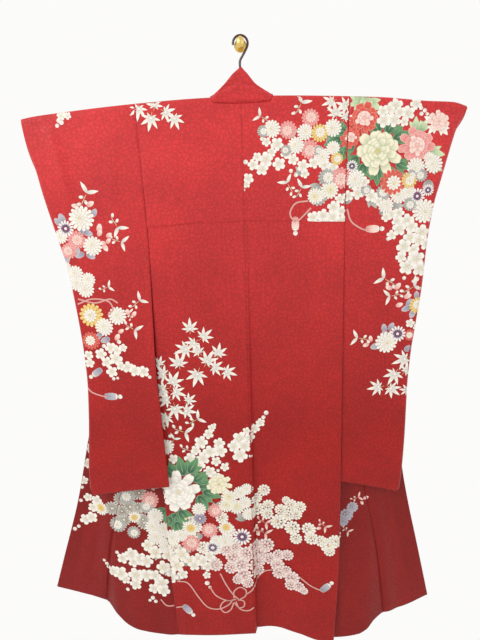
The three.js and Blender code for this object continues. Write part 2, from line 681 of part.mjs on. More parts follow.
for (const side of Object.keys(SIDES)) {
  add(`body_${side}`, bodySolid(side), 'silk');
  add(`okumi_${side}`, okumiSolid(side), 'silk');
  add(`sleeve_${side}`, sleeveSolid(side), 'silk');
  add(`collar_${side}`, collarSolid(side), 'silk');
}
add('over_collar', overCollarSolid(), 'silk');
add('hanger_bar', barSolid(), 'lacquer');
add('hanger_wire', wireSolid(), 'enamel');
add('wall_hook', await wallHookSolid(), 'brass');

export default furisode;
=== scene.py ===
# %% [markdown]
# # A furisode on its hanger
# A furisode is a silk robe with very long sleeves. This one hangs with its back to the room, from
# a bowed bar that goes through both sleeves. Its cut is all long straight strips of one bolt, so
# each strip is built here as a sheet: a function gives the place of any point of the cloth, and a
# mesh samples it finely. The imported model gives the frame, and everything is in its metres.

import bpy
import math
import random
import numpy as np
from mathutils import Matrix, Vector
from mathutils.bvhtree import BVHTree


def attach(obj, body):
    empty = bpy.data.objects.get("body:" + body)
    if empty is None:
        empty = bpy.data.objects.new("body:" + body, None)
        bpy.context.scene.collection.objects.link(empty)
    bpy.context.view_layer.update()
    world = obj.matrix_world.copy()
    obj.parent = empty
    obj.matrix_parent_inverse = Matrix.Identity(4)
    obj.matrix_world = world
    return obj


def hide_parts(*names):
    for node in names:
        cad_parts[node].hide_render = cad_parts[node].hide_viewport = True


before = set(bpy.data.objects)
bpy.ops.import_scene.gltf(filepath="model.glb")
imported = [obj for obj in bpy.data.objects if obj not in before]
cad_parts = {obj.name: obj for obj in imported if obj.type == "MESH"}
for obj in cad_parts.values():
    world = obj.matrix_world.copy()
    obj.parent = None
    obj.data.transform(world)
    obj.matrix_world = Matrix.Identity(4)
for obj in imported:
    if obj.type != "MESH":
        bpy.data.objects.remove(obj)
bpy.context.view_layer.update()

# %% [markdown]
# ## Camera
# Made first, because it tells how large everything will look: a pixel is about 3 mm of silk. It
# stands a little above the middle of the robe and looks down slightly, with a small lean.

# %% Camera
MM = 0.001
CAMERA_PLACE = (13.9, -1585.0, -382.5)
CAMERA_YAW, CAMERA_PITCH, CAMERA_ROLL = (math.radians(a) for a in (-1.34, 14.28, -1.66))
PICTURE_HEIGHT, FOCAL_PIXELS, SENSOR = 640, 518, 36.0

ahead = Vector((math.sin(CAMERA_YAW) * math.cos(CAMERA_PITCH),
                math.cos(CAMERA_YAW) * math.cos(CAMERA_PITCH), -math.sin(CAMERA_PITCH)))
level = Vector((math.cos(CAMERA_YAW), -math.sin(CAMERA_YAW), 0))
above = level.cross(ahead)
right = level * math.cos(CAMERA_ROLL) + above * math.sin(CAMERA_ROLL)
up = above * math.cos(CAMERA_ROLL) - level * math.sin(CAMERA_ROLL)

camera_data = bpy.data.cameras.new("camera")
camera_data.lens = FOCAL_PIXELS / PICTURE_HEIGHT * SENSOR
camera_data.sensor_width = SENSOR
camera = bpy.data.objects.new("camera", camera_data)
bpy.context.collection.objects.link(camera)
turn = Matrix((right, up, -ahead)).transposed().to_4x4()
camera.matrix_world = Matrix.Translation(Vector(CAMERA_PLACE) * MM) @ turn
bpy.context.scene.camera = camera
print("camera: lens", round(camera_data.lens, 2), "mm")

# %% [markdown]
# ## Places in the picture
# Flowers and creases are given by where they show in the camera's picture, in pixels from its top
# left corner. One function gives the line of sight through such a place. The next one says where
# that line is when it is a given distance off the wall.

# %% Places in the picture
PICTURE_WIDTH = 480
MIDDLE_X, MIDDLE_Y = PICTURE_WIDTH / 2, PICTURE_HEIGHT / 2


def sight(px, py):
    """The way from the camera through a place in the picture."""
    return ahead * FOCAL_PIXELS + right * (px - MIDDLE_X) - up * (py - MIDDLE_Y)


def seen_at(px, py, off):
    """The point on that line that is off millimetres from the wall: its x and z, in whole ones."""
    way = sight(px, py)
    spot = Vector(CAMERA_PLACE) + way * ((-off - CAMERA_PLACE[1]) / way.y)
    return round(spot.x), round(spot.z)


print("60 mm off the wall, the middle of the picture is at", seen_at(MIDDLE_X, MIDDLE_Y, 60))

# %% [markdown]
# ## Colours and nodes
# Colours are written as sRGB hex, as a dyer's chart would give them, and turned to linear light
# by one function. One more function adds a shader node with its settings and links.

# %% Two helpers
def colour(hex_code):
    parts = [int(hex_code[i:i + 2], 16) / 255 for i in (0, 2, 4)]
    linear = [c / 12.92 if c <= 0.04045 else ((c + 0.055) / 1.055) ** 2.4 for c in parts]
    return (*linear, 1.0)


def add_node(material, kind, settings=None, **inputs):
    """Adds a node. An input is a value, or (node, output name) for a link."""
    node = material.node_tree.nodes.new(kind)
    for key, value in (settings or {}).items():
        setattr(node, key, value)
    for key, value in inputs.items():
        socket = node.inputs[int(key[1:])] if key[0] == "i" and key[1:].isdigit() else \
            node.inputs[key.replace("_", " ")]
        if isinstance(value, tuple) and isinstance(value[0], bpy.types.Node):
            material.node_tree.links.new(value[0].outputs[value[1]], socket)
        else:
            socket.default_value = value
    return node


def new_material(name):
    material = bpy.data.materials.new(name)
    material.use_nodes = True
    material.node_tree.nodes.clear()
    return material


print("helpers: colour('c8323a') =", [round(c, 3) for c in colour("c8323a")])

# %% [markdown]
# ## Figured silk satin
# The robe is rinzu, a silk satin whose figure is woven in: fine lines round cells about 13 mm
# wide, with larger meanders across them, reflect the light a little differently from the ground.
# A Voronoi texture's distance to its edges gives the cells. Satin floats give a soft broad gloss,
# and the crepe twist of the weft a fine grain. The threads are 0.1 mm thick and would not show,
# so the grain is drawn at 1.6 mm. The red is painted clearer above and deeper below, as painted
# shade for the light falling off down the robe.

# %% Silk and lining
CELL_MM, MEANDER_MM, GRAIN_MM = 13.0, 60.0, 1.6


def woven_silk(name, light, deep, figure, roughness):
    m = new_material(name)
    uv = add_node(m, "ShaderNodeUVMap", {"uv_map": "cloth"})
    spot = add_node(m, "ShaderNodeTexCoord")
    height = add_node(m, "ShaderNodeSeparateXYZ", Vector=(spot, "Object"))
    # Painted shade: by height, the red is mixed from the light colour at the top to the deep one at the
    # hem.
    shade = add_node(m, "ShaderNodeMapRange", Value=(height, "Z"), i1=-0.3, i2=-1.15)
    drift = add_node(m, "ShaderNodeTexNoise", {"noise_dimensions": "2D"},
                     Vector=(uv, "UV"), Scale=5.0, Detail=3.0)
    dye = add_node(m, "ShaderNodeMix", {"data_type": "RGBA"}, i0=(shade, "Result"),
                   i6=colour(light), i7=colour(deep))
    uneven = add_node(m, "ShaderNodeMapRange", Value=(drift, "Fac"), i1=0.3, i2=0.7, i3=0.9, i4=1.08)
    sway = add_node(m, "ShaderNodeTexNoise", {"noise_dimensions": "2D"}, Vector=(uv, "UV"),
                    Scale=900 / CELL_MM, Detail=1.0)
    swayed = add_node(m, "ShaderNodeVectorMath", {"operation": "MULTIPLY_ADD"},
                      i0=(sway, "Color"), i1=[CELL_MM * MM] * 3, i2=(uv, "UV"))
    cells = add_node(m, "ShaderNodeTexVoronoi", {"voronoi_dimensions": "2D",
                     "feature": "DISTANCE_TO_EDGE"}, Vector=(swayed, "Vector"),
                     Scale=1000 / CELL_MM, Randomness=1.0)
    cell = add_node(m, "ShaderNodeMapRange", {"interpolation_type": "SMOOTHSTEP"},
                    Value=(cells, "Distance"), i1=0.0, i2=0.24)
    field = add_node(m, "ShaderNodeTexNoise", {"noise_dimensions": "2D"}, Vector=(uv, "UV"),
                     Scale=1000 / MEANDER_MM, Detail=1.0, Roughness=0.35, Distortion=0.6)
    bands = add_node(m, "ShaderNodeMath", {"operation": "MULTIPLY"}, i0=(field, "Fac"), i1=7.0)
    wave = add_node(m, "ShaderNodeMath", {"operation": "PINGPONG"}, i0=(bands, "Value"), i1=0.5)
    meander = add_node(m, "ShaderNodeMapRange", {"interpolation_type": "SMOOTHSTEP"},
                       Value=(wave, "Value"), i1=0.05, i2=0.3, i3=0.45)
    line = add_node(m, "ShaderNodeMath", {"operation": "MULTIPLY"}, i0=(cell, "Result"),
                    i1=(meander, "Result"))
    tone = add_node(m, "ShaderNodeMapRange", Value=(line, "Value"), i3=1 - figure, i4=1.0)
    strength = add_node(m, "ShaderNodeMath", {"operation": "MULTIPLY"},
                        i0=(tone, "Result"), i1=(uneven, "Result"))
    tint = add_node(m, "ShaderNodeVectorMath", {"operation": "SCALE"},
                    i0=(dye, 2), Scale=(strength, "Value"))
    grain = add_node(m, "ShaderNodeTexNoise", {"noise_dimensions": "2D"}, Vector=(uv, "UV"),
                     Scale=1000 / GRAIN_MM, Detail=2.0)
    relief = add_node(m, "ShaderNodeMath", {"operation": "MULTIPLY_ADD"},
                      i0=(grain, "Fac"), i1=0.5, i2=(line, "Value"))
    bump = add_node(m, "ShaderNodeBump", Strength=0.12, Distance=0.0006, Height=(relief, "Value"))
    gloss = add_node(m, "ShaderNodeMapRange", Value=(line, "Value"), i3=roughness + 0.12,
                     i4=roughness)
    surface = add_node(m, "ShaderNodeBsdfPrincipled", Base_Color=(tint, "Vector"),
                       Roughness=(gloss, "Result"), Normal=(bump, "Normal"), IOR=1.5,
                       Specular_IOR_Level=0.27, Sheen_Weight=0.05, Sheen_Roughness=0.4,
                       Sheen_Tint=colour("f0a090"))
    add_node(m, "ShaderNodeOutputMaterial", Surface=(surface, "BSDF"))
    return m


SILK = woven_silk("figured_silk_satin", "ce3234", "a21712", 0.24, 0.42)
# A darker copy of the silk for the fronts and okumi: painted shade for the shadow they hang in behind
# the back.
SHADED_FRONT_SILK = woven_silk("figured_silk_satin_shaded_fronts", "cf3436", "88110c", 0.18, 0.46)
LINING = woven_silk("plain_silk_lining", "bd3233", "9a1c1c", 0.0, 0.6)
print("silk: cells", CELL_MM, "mm, meanders", MEANDER_MM, "mm, grain", GRAIN_MM, "mm")

# %% [markdown]
# ## The cut
# The same named sizes and tables as the solids have, in millimetres. Across is the distance from
# the centre back, off the distance from the wall, and drop the way down from the shoulder line.
# A look-up draws a smooth curve through a table's rows that never swings past them.

# %% Sizes
OVER_BAR, BAR_OFF, SHOULDER_Z = 9.58, 28.0, -133.0
NECK_HALF_WIDTH, NECK_DEPTH, SEAM_GAP = 90.0, 8.0, 0.1
FRONT_TURN_RADIUS, FRONT_TOP_OFF, BACK_SWING, FRONT_SWING = 4.0, 11.0, 1.3, 3.0
COLLAR_WIDTH, SLEEVE_WIDTH, CUFF_OPENING, SLEEVE_CURL = 55.0, 326.0, 230.0, 3.5
UNDER_ARM_COVER = 4.5
TUCK_V, TUCK_HALF_HEIGHT, TUCK_STEP = 0.1955, 0.0014, 2.2
OKUMI_TOP_V, COLLAR_END_V, OVER_COLLAR_END_V, SEWN_T = 0.17, 0.511, 0.21, 0.197
BACK_LENGTH = 1754.0
SLEEVE_LENGTH = {"left": 1174.0, "right": 1177.0}
SLEEVE_SLANT = {"left": 22.0, "right": 27.0}
SLEEVE_CORNER = {"left": 42.0, "right": 14.0}
SIDES = {"left": -1, "right": 1}


def mix(a, b, share):
    return a + (b - a) * share


def smooth(x, low, high):
    s = np.clip((x - low) / (high - low), 0, 1)
    return s * s * (3 - 2 * s)


def look_up(*rows):
    """Row by row: the key, then the values. Gives a function from a key to its values."""
    rows = np.array(rows, float)
    keys = rows[:, 0]
    steps = np.diff(rows, axis=0) / np.diff(keys)[:, None]
    before, after = steps[:-1], steps[1:]
    same = before * after > 0
    total = np.where(same, before + after, 1)
    slopes = np.vstack([steps[:1], np.where(same, 2 * before * after / total, 0), steps[-1:]])

    def at(key):
        key = np.clip(np.asarray(key, float), keys[0], keys[-1])
        i = np.clip(np.searchsorted(keys, key) - 1, 0, len(keys) - 2)
        step = (keys[i + 1] - keys[i])[..., None]
        s = (key - keys[i])[..., None] / step
        p, q, m, n = rows[i], rows[i + 1], slopes[i] * step, slopes[i + 1] * step
        value = p + s * m + s**2 * (3 * (q - p) - 2 * m - n) + s**3 * (2 * (p - q) + m + n)
        return np.moveaxis(value[..., 1:], -1, 0)

    return at


# %% Tables
# across: drop of the bowed shoulder line
SHOULDER_DROP = {
    "left": look_up((0, 0), (150, 4), (300, 12), (400, 19), (500, 28), (590, 37), (625, 43)),
    "right": look_up((0, 0), (150, 4), (300, 10.5), (400, 16.5), (460, 23), (515, 29),
                     (590, 34.5), (625, 46)),
}
# share of the way down: side edge, width of front turned in, front's far edge, collar's line
BODY = {
    "left": look_up((0, 300, 210, 91, 91), (0.034, 297, 195, 113, 113), (0.13, 291, 178, 168, 168),
                    (0.17, 289, 170, 200, 203), (0.21, 289, 162, 218, 232),
                    (0.34, 289, 143, 262, 318), (0.511, 289, 112, 322, 432),
                    (0.68, 288, 68, 415, 520), (0.85, 283, 24, 494, 592), (1, 270, 3, 535, 662)),
    "right": look_up((0, 300, 210, 91, 91), (0.034, 297, 195, 113, 113), (0.13, 292, 178, 165, 165),
                     (0.17, 292, 171, 193, 196), (0.21, 292, 164, 210, 222),
                     (0.34, 292, 146, 250, 298), (0.511, 291, 118, 302, 402),
                     (0.68, 290, 84, 364, 446), (0.85, 286, 50, 425, 508), (1, 272, 37, 458, 566)),
}
FRONT_EDGE = {
    "left": look_up((0.5, 478), (0.62, 533), (0.78, 599), (0.917, 671), (1, 715)),
    "right": look_up((0.5, 458), (0.7, 508), (0.77, 532), (0.863, 569), (1, 623)),
}
# across at the hem: distance off the wall, length below the shoulder line
HEM = {
    "left": look_up((0, 105, 1754), (150, 103, 1762), (268, 97, 1764), (320, 90, 1768),
                    (409, 80, 1759), (450, 68, 1748), (488, 56, 1716), (536, 22, 1683),
                    (620, 16, 1658), (715, 12, 1632)),
    "right": look_up((0, 105, 1754), (2, 105, 1754), (6, 92, 1753), (10, 79, 1753), (53, 77, 1751),
                     (160, 92, 1770), (230, 112, 1780), (275, 118, 1780), (310, 112, 1778),
                     (388, 90, 1758), (422, 68, 1735), (458, 45, 1727), (520, 25, 1724),
                     (623, 10, 1686)),
}
# share down: half the space between back and front, and how far they are joined at the side
SPACE = look_up((0, OVER_BAR, 0), (0.13, OVER_BAR, 0), (0.21, 6, 1), (1, 6, 1))
SIDE_FOLD = {
    "left": look_up((0, 180), (0.84, 180), (0.93, 100), (1, 12)),
    "right": look_up((0, 180), (1, 180)),
}
# share down the sleeve: its inner and outer visible side, and how far each is off the wall
SLEEVE = {
    "left": look_up((0, 300, 624, 37.4, 37.4), (0.16, 291.5, 596, 41, 42), (0.29, 290.5, 561, 45, 44),
                    (0.38, 291, 537, 49, 46), (0.44, 291.5, 530, 53, 47), (0.52, 292, 521, 59, 49),
                    (0.6, 292, 515, 66, 50), (0.67, 290.5, 513, 73, 52), (0.78, 283, 519, 82, 57),
                    (0.87, 278, 528, 87, 61), (0.95, 273, 536, 92, 65), (1, 270, 538, 95, 66)),
    "right": look_up((0, 300, 622, 37.4, 37.4), (0.08, 297, 597, 38.6, 39), (0.17, 293, 570, 41.5, 42),
                     (0.23, 293, 552, 42.5, 44), (0.31, 293.5, 538, 44.5, 46),
                     (0.44, 294, 527, 48, 50), (0.52, 294, 516, 51, 52), (0.61, 294, 504, 54, 54),
                     (0.7, 294, 498, 58, 57), (0.82, 294, 497, 64, 61), (0.94, 294, 492, 70, 66),
                     (1, 293, 486, 73, 68)),
}
SLEEVE_SPACE = look_up((0, 2 * OVER_BAR, 2 * OVER_BAR), (0.1, 2 * OVER_BAR, 17),
                       (0.2, 2 * OVER_BAR, 13.5), (0.32, 9, 9), (1, 9, 9))
print("cut: sleeves", SLEEVE_LENGTH, "mm long,", SLEEVE_WIDTH, "mm wide")

# %% [markdown]
# ## Creases
# Silk that was folded away and then hung keeps a few soft lines. Each row here is one, from one
# end to the other, with its half width and how far it stands out (or in, if less than nothing).
# Its depth fades to both ends. Adding them to the distance off the wall keeps the layers in order.
# Most are given in the picture. The other three, the fold of one sleeve and two lines along the
# tuck, are in millimetres.

# %% Creases
UPPER_END_OFF, LOWER_END_OFF = 55, 60
SEEN_CREASES = [
    # first end and second end in the picture; half width and rise in millimetres
    (150, 258, 243, 254, 5, -0.8),
    (253, 254, 340, 257, 5, -0.8),
    (150, 366, 340, 364, 5, 0.9),
    (160, 379, 338, 377, 5, -0.7),
    (139, 125, 146, 330, 7, -1.2),
    (334, 470, 340, 625, 12, 2.5),
    (372, 488, 384, 612, 15, -3.0),
    (190, 235, 202, 335, 18, 1.4),
    (214, 300, 222, 500, 15, -1.6),
    (290, 250, 300, 430, 20, 1.5),
    (318, 380, 322, 560, 16, -1.6),
    (108, 125, 124, 400, 16, 1.6),
    (74, 250, 98, 420, 14, -1.6),
    (404, 280, 386, 470, 16, 1.8),
    (368, 225, 362, 476, 14, -1.5),
    (98, 512, 78, 590, 14, 3.0),
    (112, 520, 104, 598, 8, -2.0),
    (180, 560, 188, 628, 16, 1.8),
    (230, 430, 234, 560, 14, 1.3),
    (275, 500, 282, 632, 18, -2.0),
    (300, 560, 306, 632, 12, 1.8),
    (170, 105, 176, 215, 16, 1.0),
    (300, 110, 296, 210, 18, 1.0),
]
OTHER_CREASES = [
    # from across, from height, to across, to height, half width, rise
    (-552, -196, -490, -502, 16, 7.0),
    (-323, -500, -22, -466, 4, -1.8),
    (22, -466, 284, -481, 4, -1.8),
]
CREASES = np.array(
    [(*seen_at(px0, py0, UPPER_END_OFF), *seen_at(px1, py1, LOWER_END_OFF), half_width, rise)
     for px0, py0, px1, py1, half_width, rise in SEEN_CREASES] + OTHER_CREASES, float)
print("creases:", len(CREASES))


def creased(side, across, off, drop):
    x, z = SIDES[side] * across, SHOULDER_Z - drop
    for x0, z0, x1, z1, width, rise in CREASES:
        way = np.array([x1 - x0, z1 - z0])
        length2 = max(way @ way, 1.0)
        s = np.clip(((x - x0) * way[0] + (z - z0) * way[1]) / length2, 0, 1)
        gap2 = (x - x0 - s * way[0]) ** 2 + (z - z0 - s * way[1]) ** 2
        off = off + rise * np.sqrt(np.sin(np.pi * s) + 1e-9) * np.exp(-gap2 / width**2)
    return off


def place(side, across, off, drop):
    """Points in millimetres, from where they are on the robe."""
    across, off, drop = np.broadcast_arrays(across, off, drop)
    return np.stack([SIDES[side] * across, -off, SHOULDER_Z - drop], -1)


# %% [markdown]
# ## The body strips
# Each body strip goes from the back hem up over the bar and down to the front hem in one length.
# Down the side it is folded behind, then turns outward again, so that the fronts show beyond the
# back. Columns of the mesh are given by q: whole numbers are where the path changes its form.

# %% Back and front
def shoulder_drop(side, across):
    return SHOULDER_DROP[side](np.abs(across))[0]


def hem_at(side, across):
    return HEM[side](np.abs(across))


def drop_at(side, across, hem_across, v):
    return v * hem_at(side, hem_across)[1] + shoulder_drop(side, across) * (1 - v) ** 2


def back_off(side, share, v):
    hem_off = hem_at(side, share * BODY[side](1)[0])[0]
    past_tuck = smooth(v, TUCK_V - TUCK_HALF_HEIGHT, TUCK_V + TUCK_HALF_HEIGHT)
    tuck = TUCK_STEP * v / TUCK_V * (1 - past_tuck)
    return mix(BAR_OFF + OVER_BAR, hem_off, v**BACK_SWING) + tuck


def front_off(side, across, v):
    return mix(FRONT_TOP_OFF, hem_at(side, across)[0], v**FRONT_SWING)


def neckline(across):
    return OVER_BAR + NECK_DEPTH * np.maximum(0, 1 - (across / NECK_HALF_WIDTH) ** 2)


def over_bar(side, across, angle, way):
    a = np.radians(angle)
    return place(side, across, BAR_OFF + way * OVER_BAR * np.cos(a),
                 shoulder_drop(side, across) + OVER_BAR * (1 - np.sin(a)))


def back_path(side, v, q):
    """q: 0 centre back, 1 where the side's turn starts, 2 side seam."""
    width = BODY[side](v)[0]
    radius, closed = SPACE(v)
    turned = np.clip(q - 1, 0, 1)
    angle = turned * (np.radians(SIDE_FOLD[side](v)[0]) / 2 - SEAM_GAP / 2 / radius)
    share = np.minimum(q, 1)
    round_side = mix(width - SEAM_GAP / 2 - radius * (1 - turned),
                     width - radius + radius * np.sin(angle), closed)
    across = np.where(q <= 1, share * (width - radius), round_side)
    off = back_off(side, share, v) - closed * radius * (1 - np.cos(angle)) * (q > 1)
    drop = drop_at(side, across, share * BODY[side](1)[0], v)
    top = neckline(across) + shoulder_drop(side, across)
    low = drop_at(side, across, share * BODY[side](1)[0], 0.034)
    first = OVER_BAR / BACK_LENGTH
    drop = np.where(v < 0.034, mix(top, low, (v - first) / (0.034 - first)), drop)
    return across, off, drop


def front_path(side, v, q):
    """q: 0 side seam, 1 behind it, 2 far end of what is turned in, 3 past the fold, 4 seam."""
    width, turn_in, seam, _ = BODY[side](v)
    radius, closed = SPACE(v)
    fold = np.radians(SIDE_FOLD[side](v)[0])
    back = back_off(side, 1.0, v)
    r = FRONT_TURN_RADIUS

    def turning(share):
        angle = fold - share * (fold / 2 - SEAM_GAP / 2 / radius)
        flat = width - SEAM_GAP / 2 - radius * (1 - share)
        return (mix(flat, width - radius + radius * np.sin(angle), closed),
                mix(back - 2 * radius, back - radius * (1 - np.cos(angle)), closed))

    x0, off0 = turning(0.0)
    inward = np.maximum(turn_in - 2 * radius, 2)
    x1, off1 = x0 + inward * np.cos(fold), off0 - inward * np.sin(fold)
    x2, off2 = x1 + r * np.sin(fold), off1 - r * (1 - np.cos(fold))
    s = q - np.floor(np.minimum(q, 3.999))
    turn_x, turn_off = turning(1 - s)
    heading = fold * (1 - s)
    out_x = mix(x2, seam, s)
    beyond = smooth(out_x, x2, np.maximum(width, x2 + 60))
    out_off = mix(off2, np.minimum(off2, front_off(side, out_x, v)), beyond)
    leg = np.floor(np.minimum(q, 3.999)).astype(int) + 0 * v.astype(int)
    across = np.choose(leg, [turn_x, x0 + s * inward * np.cos(fold),
                             x1 + r * (np.sin(fold) - np.sin(heading)), out_x])
    off = np.choose(leg, [turn_off, off0 - s * inward * np.sin(fold),
                          off1 - r * (np.cos(heading) - np.cos(fold)), out_off])
    return across, off


def front_cloth(side, v, q):
    across, off = front_path(side, v, q)
    hem_across, _ = front_path(side, np.ones_like(v), q)
    return across, off, drop_at(side, across, hem_across, v)


def okumi_cloth(side, v, q):
    """q: 0 at the front's seam, 1 at the collar's line, 2 at the front edge."""
    _, _, seam, collar = BODY[side](v)
    _, _, hem_seam, hem_collar = BODY[side](1)
    seam_x, seam_off = front_path(side, v, np.full_like(q, 4.0))
    line = np.maximum(collar, seam + 3)
    across = np.where(q <= 1, mix(seam_x + SEAM_GAP, line, q), mix(line, FRONT_EDGE[side](v)[0], q - 1))
    hem_across = np.where(q <= 1, mix(hem_seam, hem_collar, q),
                          mix(hem_collar, FRONT_EDGE[side](1)[0], q - 1))
    blend = smooth(across, seam_x, seam_x + 60)
    off = mix(seam_off, np.minimum(seam_off, front_off(side, across, v)), blend)
    return across, off, drop_at(side, across, hem_across, v)


# %% [markdown]
# ## The sleeves
# A sleeve is one strip too, over the bar and down both ways, sewn to the body for its first
# 230 mm. Its outer side is rolled softly behind. Depth is 0 in the layer that faces the room and
# 1 in the one behind; the two close to a rounded edge at the bottom and down the outer side.

# %% Sleeves
def sleeve_line(side, t, q, depth):
    """q: 0 inner side, 1 end of the flat part, 2 end of the fold, 3 cuff side."""
    inner, outer, in_off, out_off = SLEEVE[side](t)
    v = t * SLEEVE_LENGTH[side] / hem_at(side, 300)[1]
    armhole = BODY[side](v)[0]
    inner = np.maximum(inner, np.where(t < 0.3, armhole + SEAM_GAP / 2, 0))
    inner = inner - UNDER_ARM_COVER * smooth(t, SEWN_T + 0.01, 0.36) * (1 - depth)
    in_off = mix(back_off(side, 1.0, v), in_off, smooth(t, SEWN_T - 0.004, SEWN_T + 0.02))
    space_in, space_out = SLEEVE_SPACE(t)
    radius = space_out + SLEEVE_CURL
    inset = depth * space_out
    visible = outer - inner
    slack = np.maximum(SLEEVE_WIDTH - visible, 2)
    curl = np.pi * np.minimum(1, slack / (radius * (np.pi - 1)))
    flat = visible - radius * np.sin(np.minimum(curl, np.pi / 2))
    behind = np.maximum(SLEEVE_WIDTH - flat - radius * curl, 2)
    s0, s1, s2 = np.clip(q, 0, 1), np.clip(q - 1, 0, 1), np.clip(q - 2, 0, 1)
    a = curl * s1
    off_flat = mix(in_off, out_off, s0 * flat / visible) - depth * mix(space_in, space_out, s0)
    across = inner + s0 * flat + (radius - inset) * np.sin(a) + s2 * behind * np.cos(curl)
    off = off_flat - (radius - inset) * (1 - np.cos(a)) - s2 * behind * np.sin(curl)
    return across, off, s0 * flat + s1 * radius * curl + s2 * behind, flat


def sleeve_cloth(side, t, q, layer):
    length = SLEEVE_LENGTH[side]
    from_hem = np.clip((1 - t) * length / 9, 0, 1)
    sewn = smooth(t, CUFF_OPENING / length, (CUFF_OPENING + 12) / length)
    from_cuff = 1 - sewn * (1 - np.clip((3 - q) * 6, 0, 1))
    near = np.minimum(from_hem, from_cuff)
    depth = 0.5 + (layer - 0.5) * np.sqrt(1 - (1 - near) ** 2)
    across, off, _, _ = sleeve_line(side, t, q, depth)
    _, _, reach, flat = sleeve_line(side, np.ones_like(t), q, depth)
    along = np.minimum(reach / flat, 1)
    past = np.clip((reach - flat) / (SLEEVE_WIDTH - flat), 0, 1)
    column = length + SLEEVE_SLANT[side] * along - SLEEVE_CORNER[side] * np.sqrt(past)
    return across, off, shoulder_drop(side, across) + t * column


# %% [markdown]
# ## The collar
# The collar is a strip folded double. It stands up round the back of the neck, turns over the
# shoulder and lies flat down the front edge. It is given here as a few cross rows, from its base
# to its fold, and a smooth curve is drawn through them both ways.

# %% Collar
COLLAR_BACK = {
    "left": look_up((0, 0, -73, 35), (22, 22, -57, 35), (48, 44, -34, 34), (70, 66, -14, 34)),
    "right": look_up((0, 0, -73, 35), (22, 18, -55, 35), (48, 39, -30, 34), (70, 64, -13, 34)),
}
COLLAR_BASE_OFF, COLLAR_BASE_RISE, COLLAR_BASE_LAP = BAR_OFF + OVER_BAR + 0.6, 1.0, 2.5
# up the back of the neck: the share of its height, and how far a pressed ridge stands out there
COLLAR_HEIGHTS, COLLAR_RIDGE = np.array([0, 0.38, 0.46, 1]), np.array([0, 9, -2, 0])
COLLAR_SHARES = np.array([0, 0.3, 0.65, 1])
COLLAR_WIDTHS = look_up((0.034, 28), (0.075, 44), (0.13, COLLAR_WIDTH), (0.21, COLLAR_WIDTH))
# across, off and drop of the four points of each row that turns over the shoulder
COLLAR_TURN = [
    ((76, 76, 76, 76), (39.2, 41, 37, 31), (15.2, 2, -4, -7)),
    ((81, 81, 81, 82), (38.2, 37.6, 32, 25), (9, 0, -4, -5)),
    ((85, 85, 86, 88), (33.4, 31, 25, 19), (1.0, -3, -3, -1)),
    ((86.8, 87, 88, 91), (28, 24, 18, 13), (-0.4, -1.5, 0, 2.5)),
    ((87.2, 88.6, 92, 97), (16.4, 14.5, 12, 9.5), (9, 6, 5, 6)),
    ((93, 98, 105, 113), (13.6, 12, 10.5, 9), (30, 27, 25, 25)),
]


def collar_front_row(side, v):
    v = np.full(1, v)
    if v[0] >= OKUMI_TOP_V:
        across, off, drop = okumi_cloth(side, v, np.ones(1))
    else:
        across, off, drop = front_cloth(side, v, np.full(1, 4.0))
    x = across + SEAM_GAP + COLLAR_SHARES * COLLAR_WIDTHS(v[0])[0]
    end = drop_at(side, x, FRONT_EDGE[side](1)[0], v)
    return place(side, x, mix(off, np.minimum(off, front_off(side, x, v)), COLLAR_SHARES),
                 mix(drop, end, COLLAR_SHARES))


def collar_back_row(side, across):
    top, top_drop, top_off = COLLAR_BACK[side](across)
    base = neckline(across) + COLLAR_BASE_LAP + shoulder_drop(side, across)
    foot = -COLLAR_BASE_RISE
    return place(side, mix(across, top, COLLAR_HEIGHTS), COLLAR_BASE_OFF + COLLAR_RIDGE
                 + (top_off - COLLAR_BASE_OFF) * COLLAR_HEIGHTS,
                 np.where(COLLAR_HEIGHTS > 0, mix(foot, top_drop, COLLAR_HEIGHTS), base))


def collar_half(side):
    back = [collar_back_row(side, x) for x in (10, 22, 35, 48, 60, 70)]
    turned = [place(side, np.array(x), np.array(off),
                    np.array(drop) + shoulder_drop(side, np.array(x)))
              for x, off, drop in COLLAR_TURN]
    front = [collar_front_row(side, v) for v in (0.034, 0.075, 0.13, 0.17, TUCK_V, OVER_COLLAR_END_V)]
    return back + turned + front


def smoothed(points, per_step):
    """A smooth curve through a list of points, with per_step pieces between two of them."""
    p = np.concatenate([[2 * points[0] - points[1]], points, [2 * points[-1] - points[-2]]])
    made = [points[:1]]
    for i in range(1, len(p) - 2):
        s = (np.arange(1, per_step + 1) / per_step).reshape(-1, *[1] * (p.ndim - 1))
        a, b, c, d = p[i - 1:i + 3]
        made.append(0.5 * (2 * b + (c - a) * s + (2 * a - 5 * b + 4 * c - d) * s**2
                           + (3 * b - a - 3 * c + d) * s**3))
    return np.concatenate(made)


# %% [markdown]
# ## From points to cloth
# A grid of points becomes one surface, and a Solidify modifier gives it the thickness of silk and
# lining, with the lining on its other side. Points that are missing leave the neck and the slits
# open. The UV map is in metres of cloth, so a woven figure keeps its size on every piece.

# %% Cloth from a grid
SILK_THICKNESS, COLLAR_THICKNESS = 1.3, 2.6
cloth_trees = {}


def laid_flat(points):
    """The distance of each point along its row and down its column, in metres of cloth."""
    across = np.linalg.norm(np.diff(points, axis=1, prepend=points[:, :1]), axis=2)
    down = np.linalg.norm(np.diff(points, axis=0, prepend=points[:1]), axis=2)
    return np.stack([np.nancumsum(across, 1), np.nancumsum(down, 0)], -1) * MM


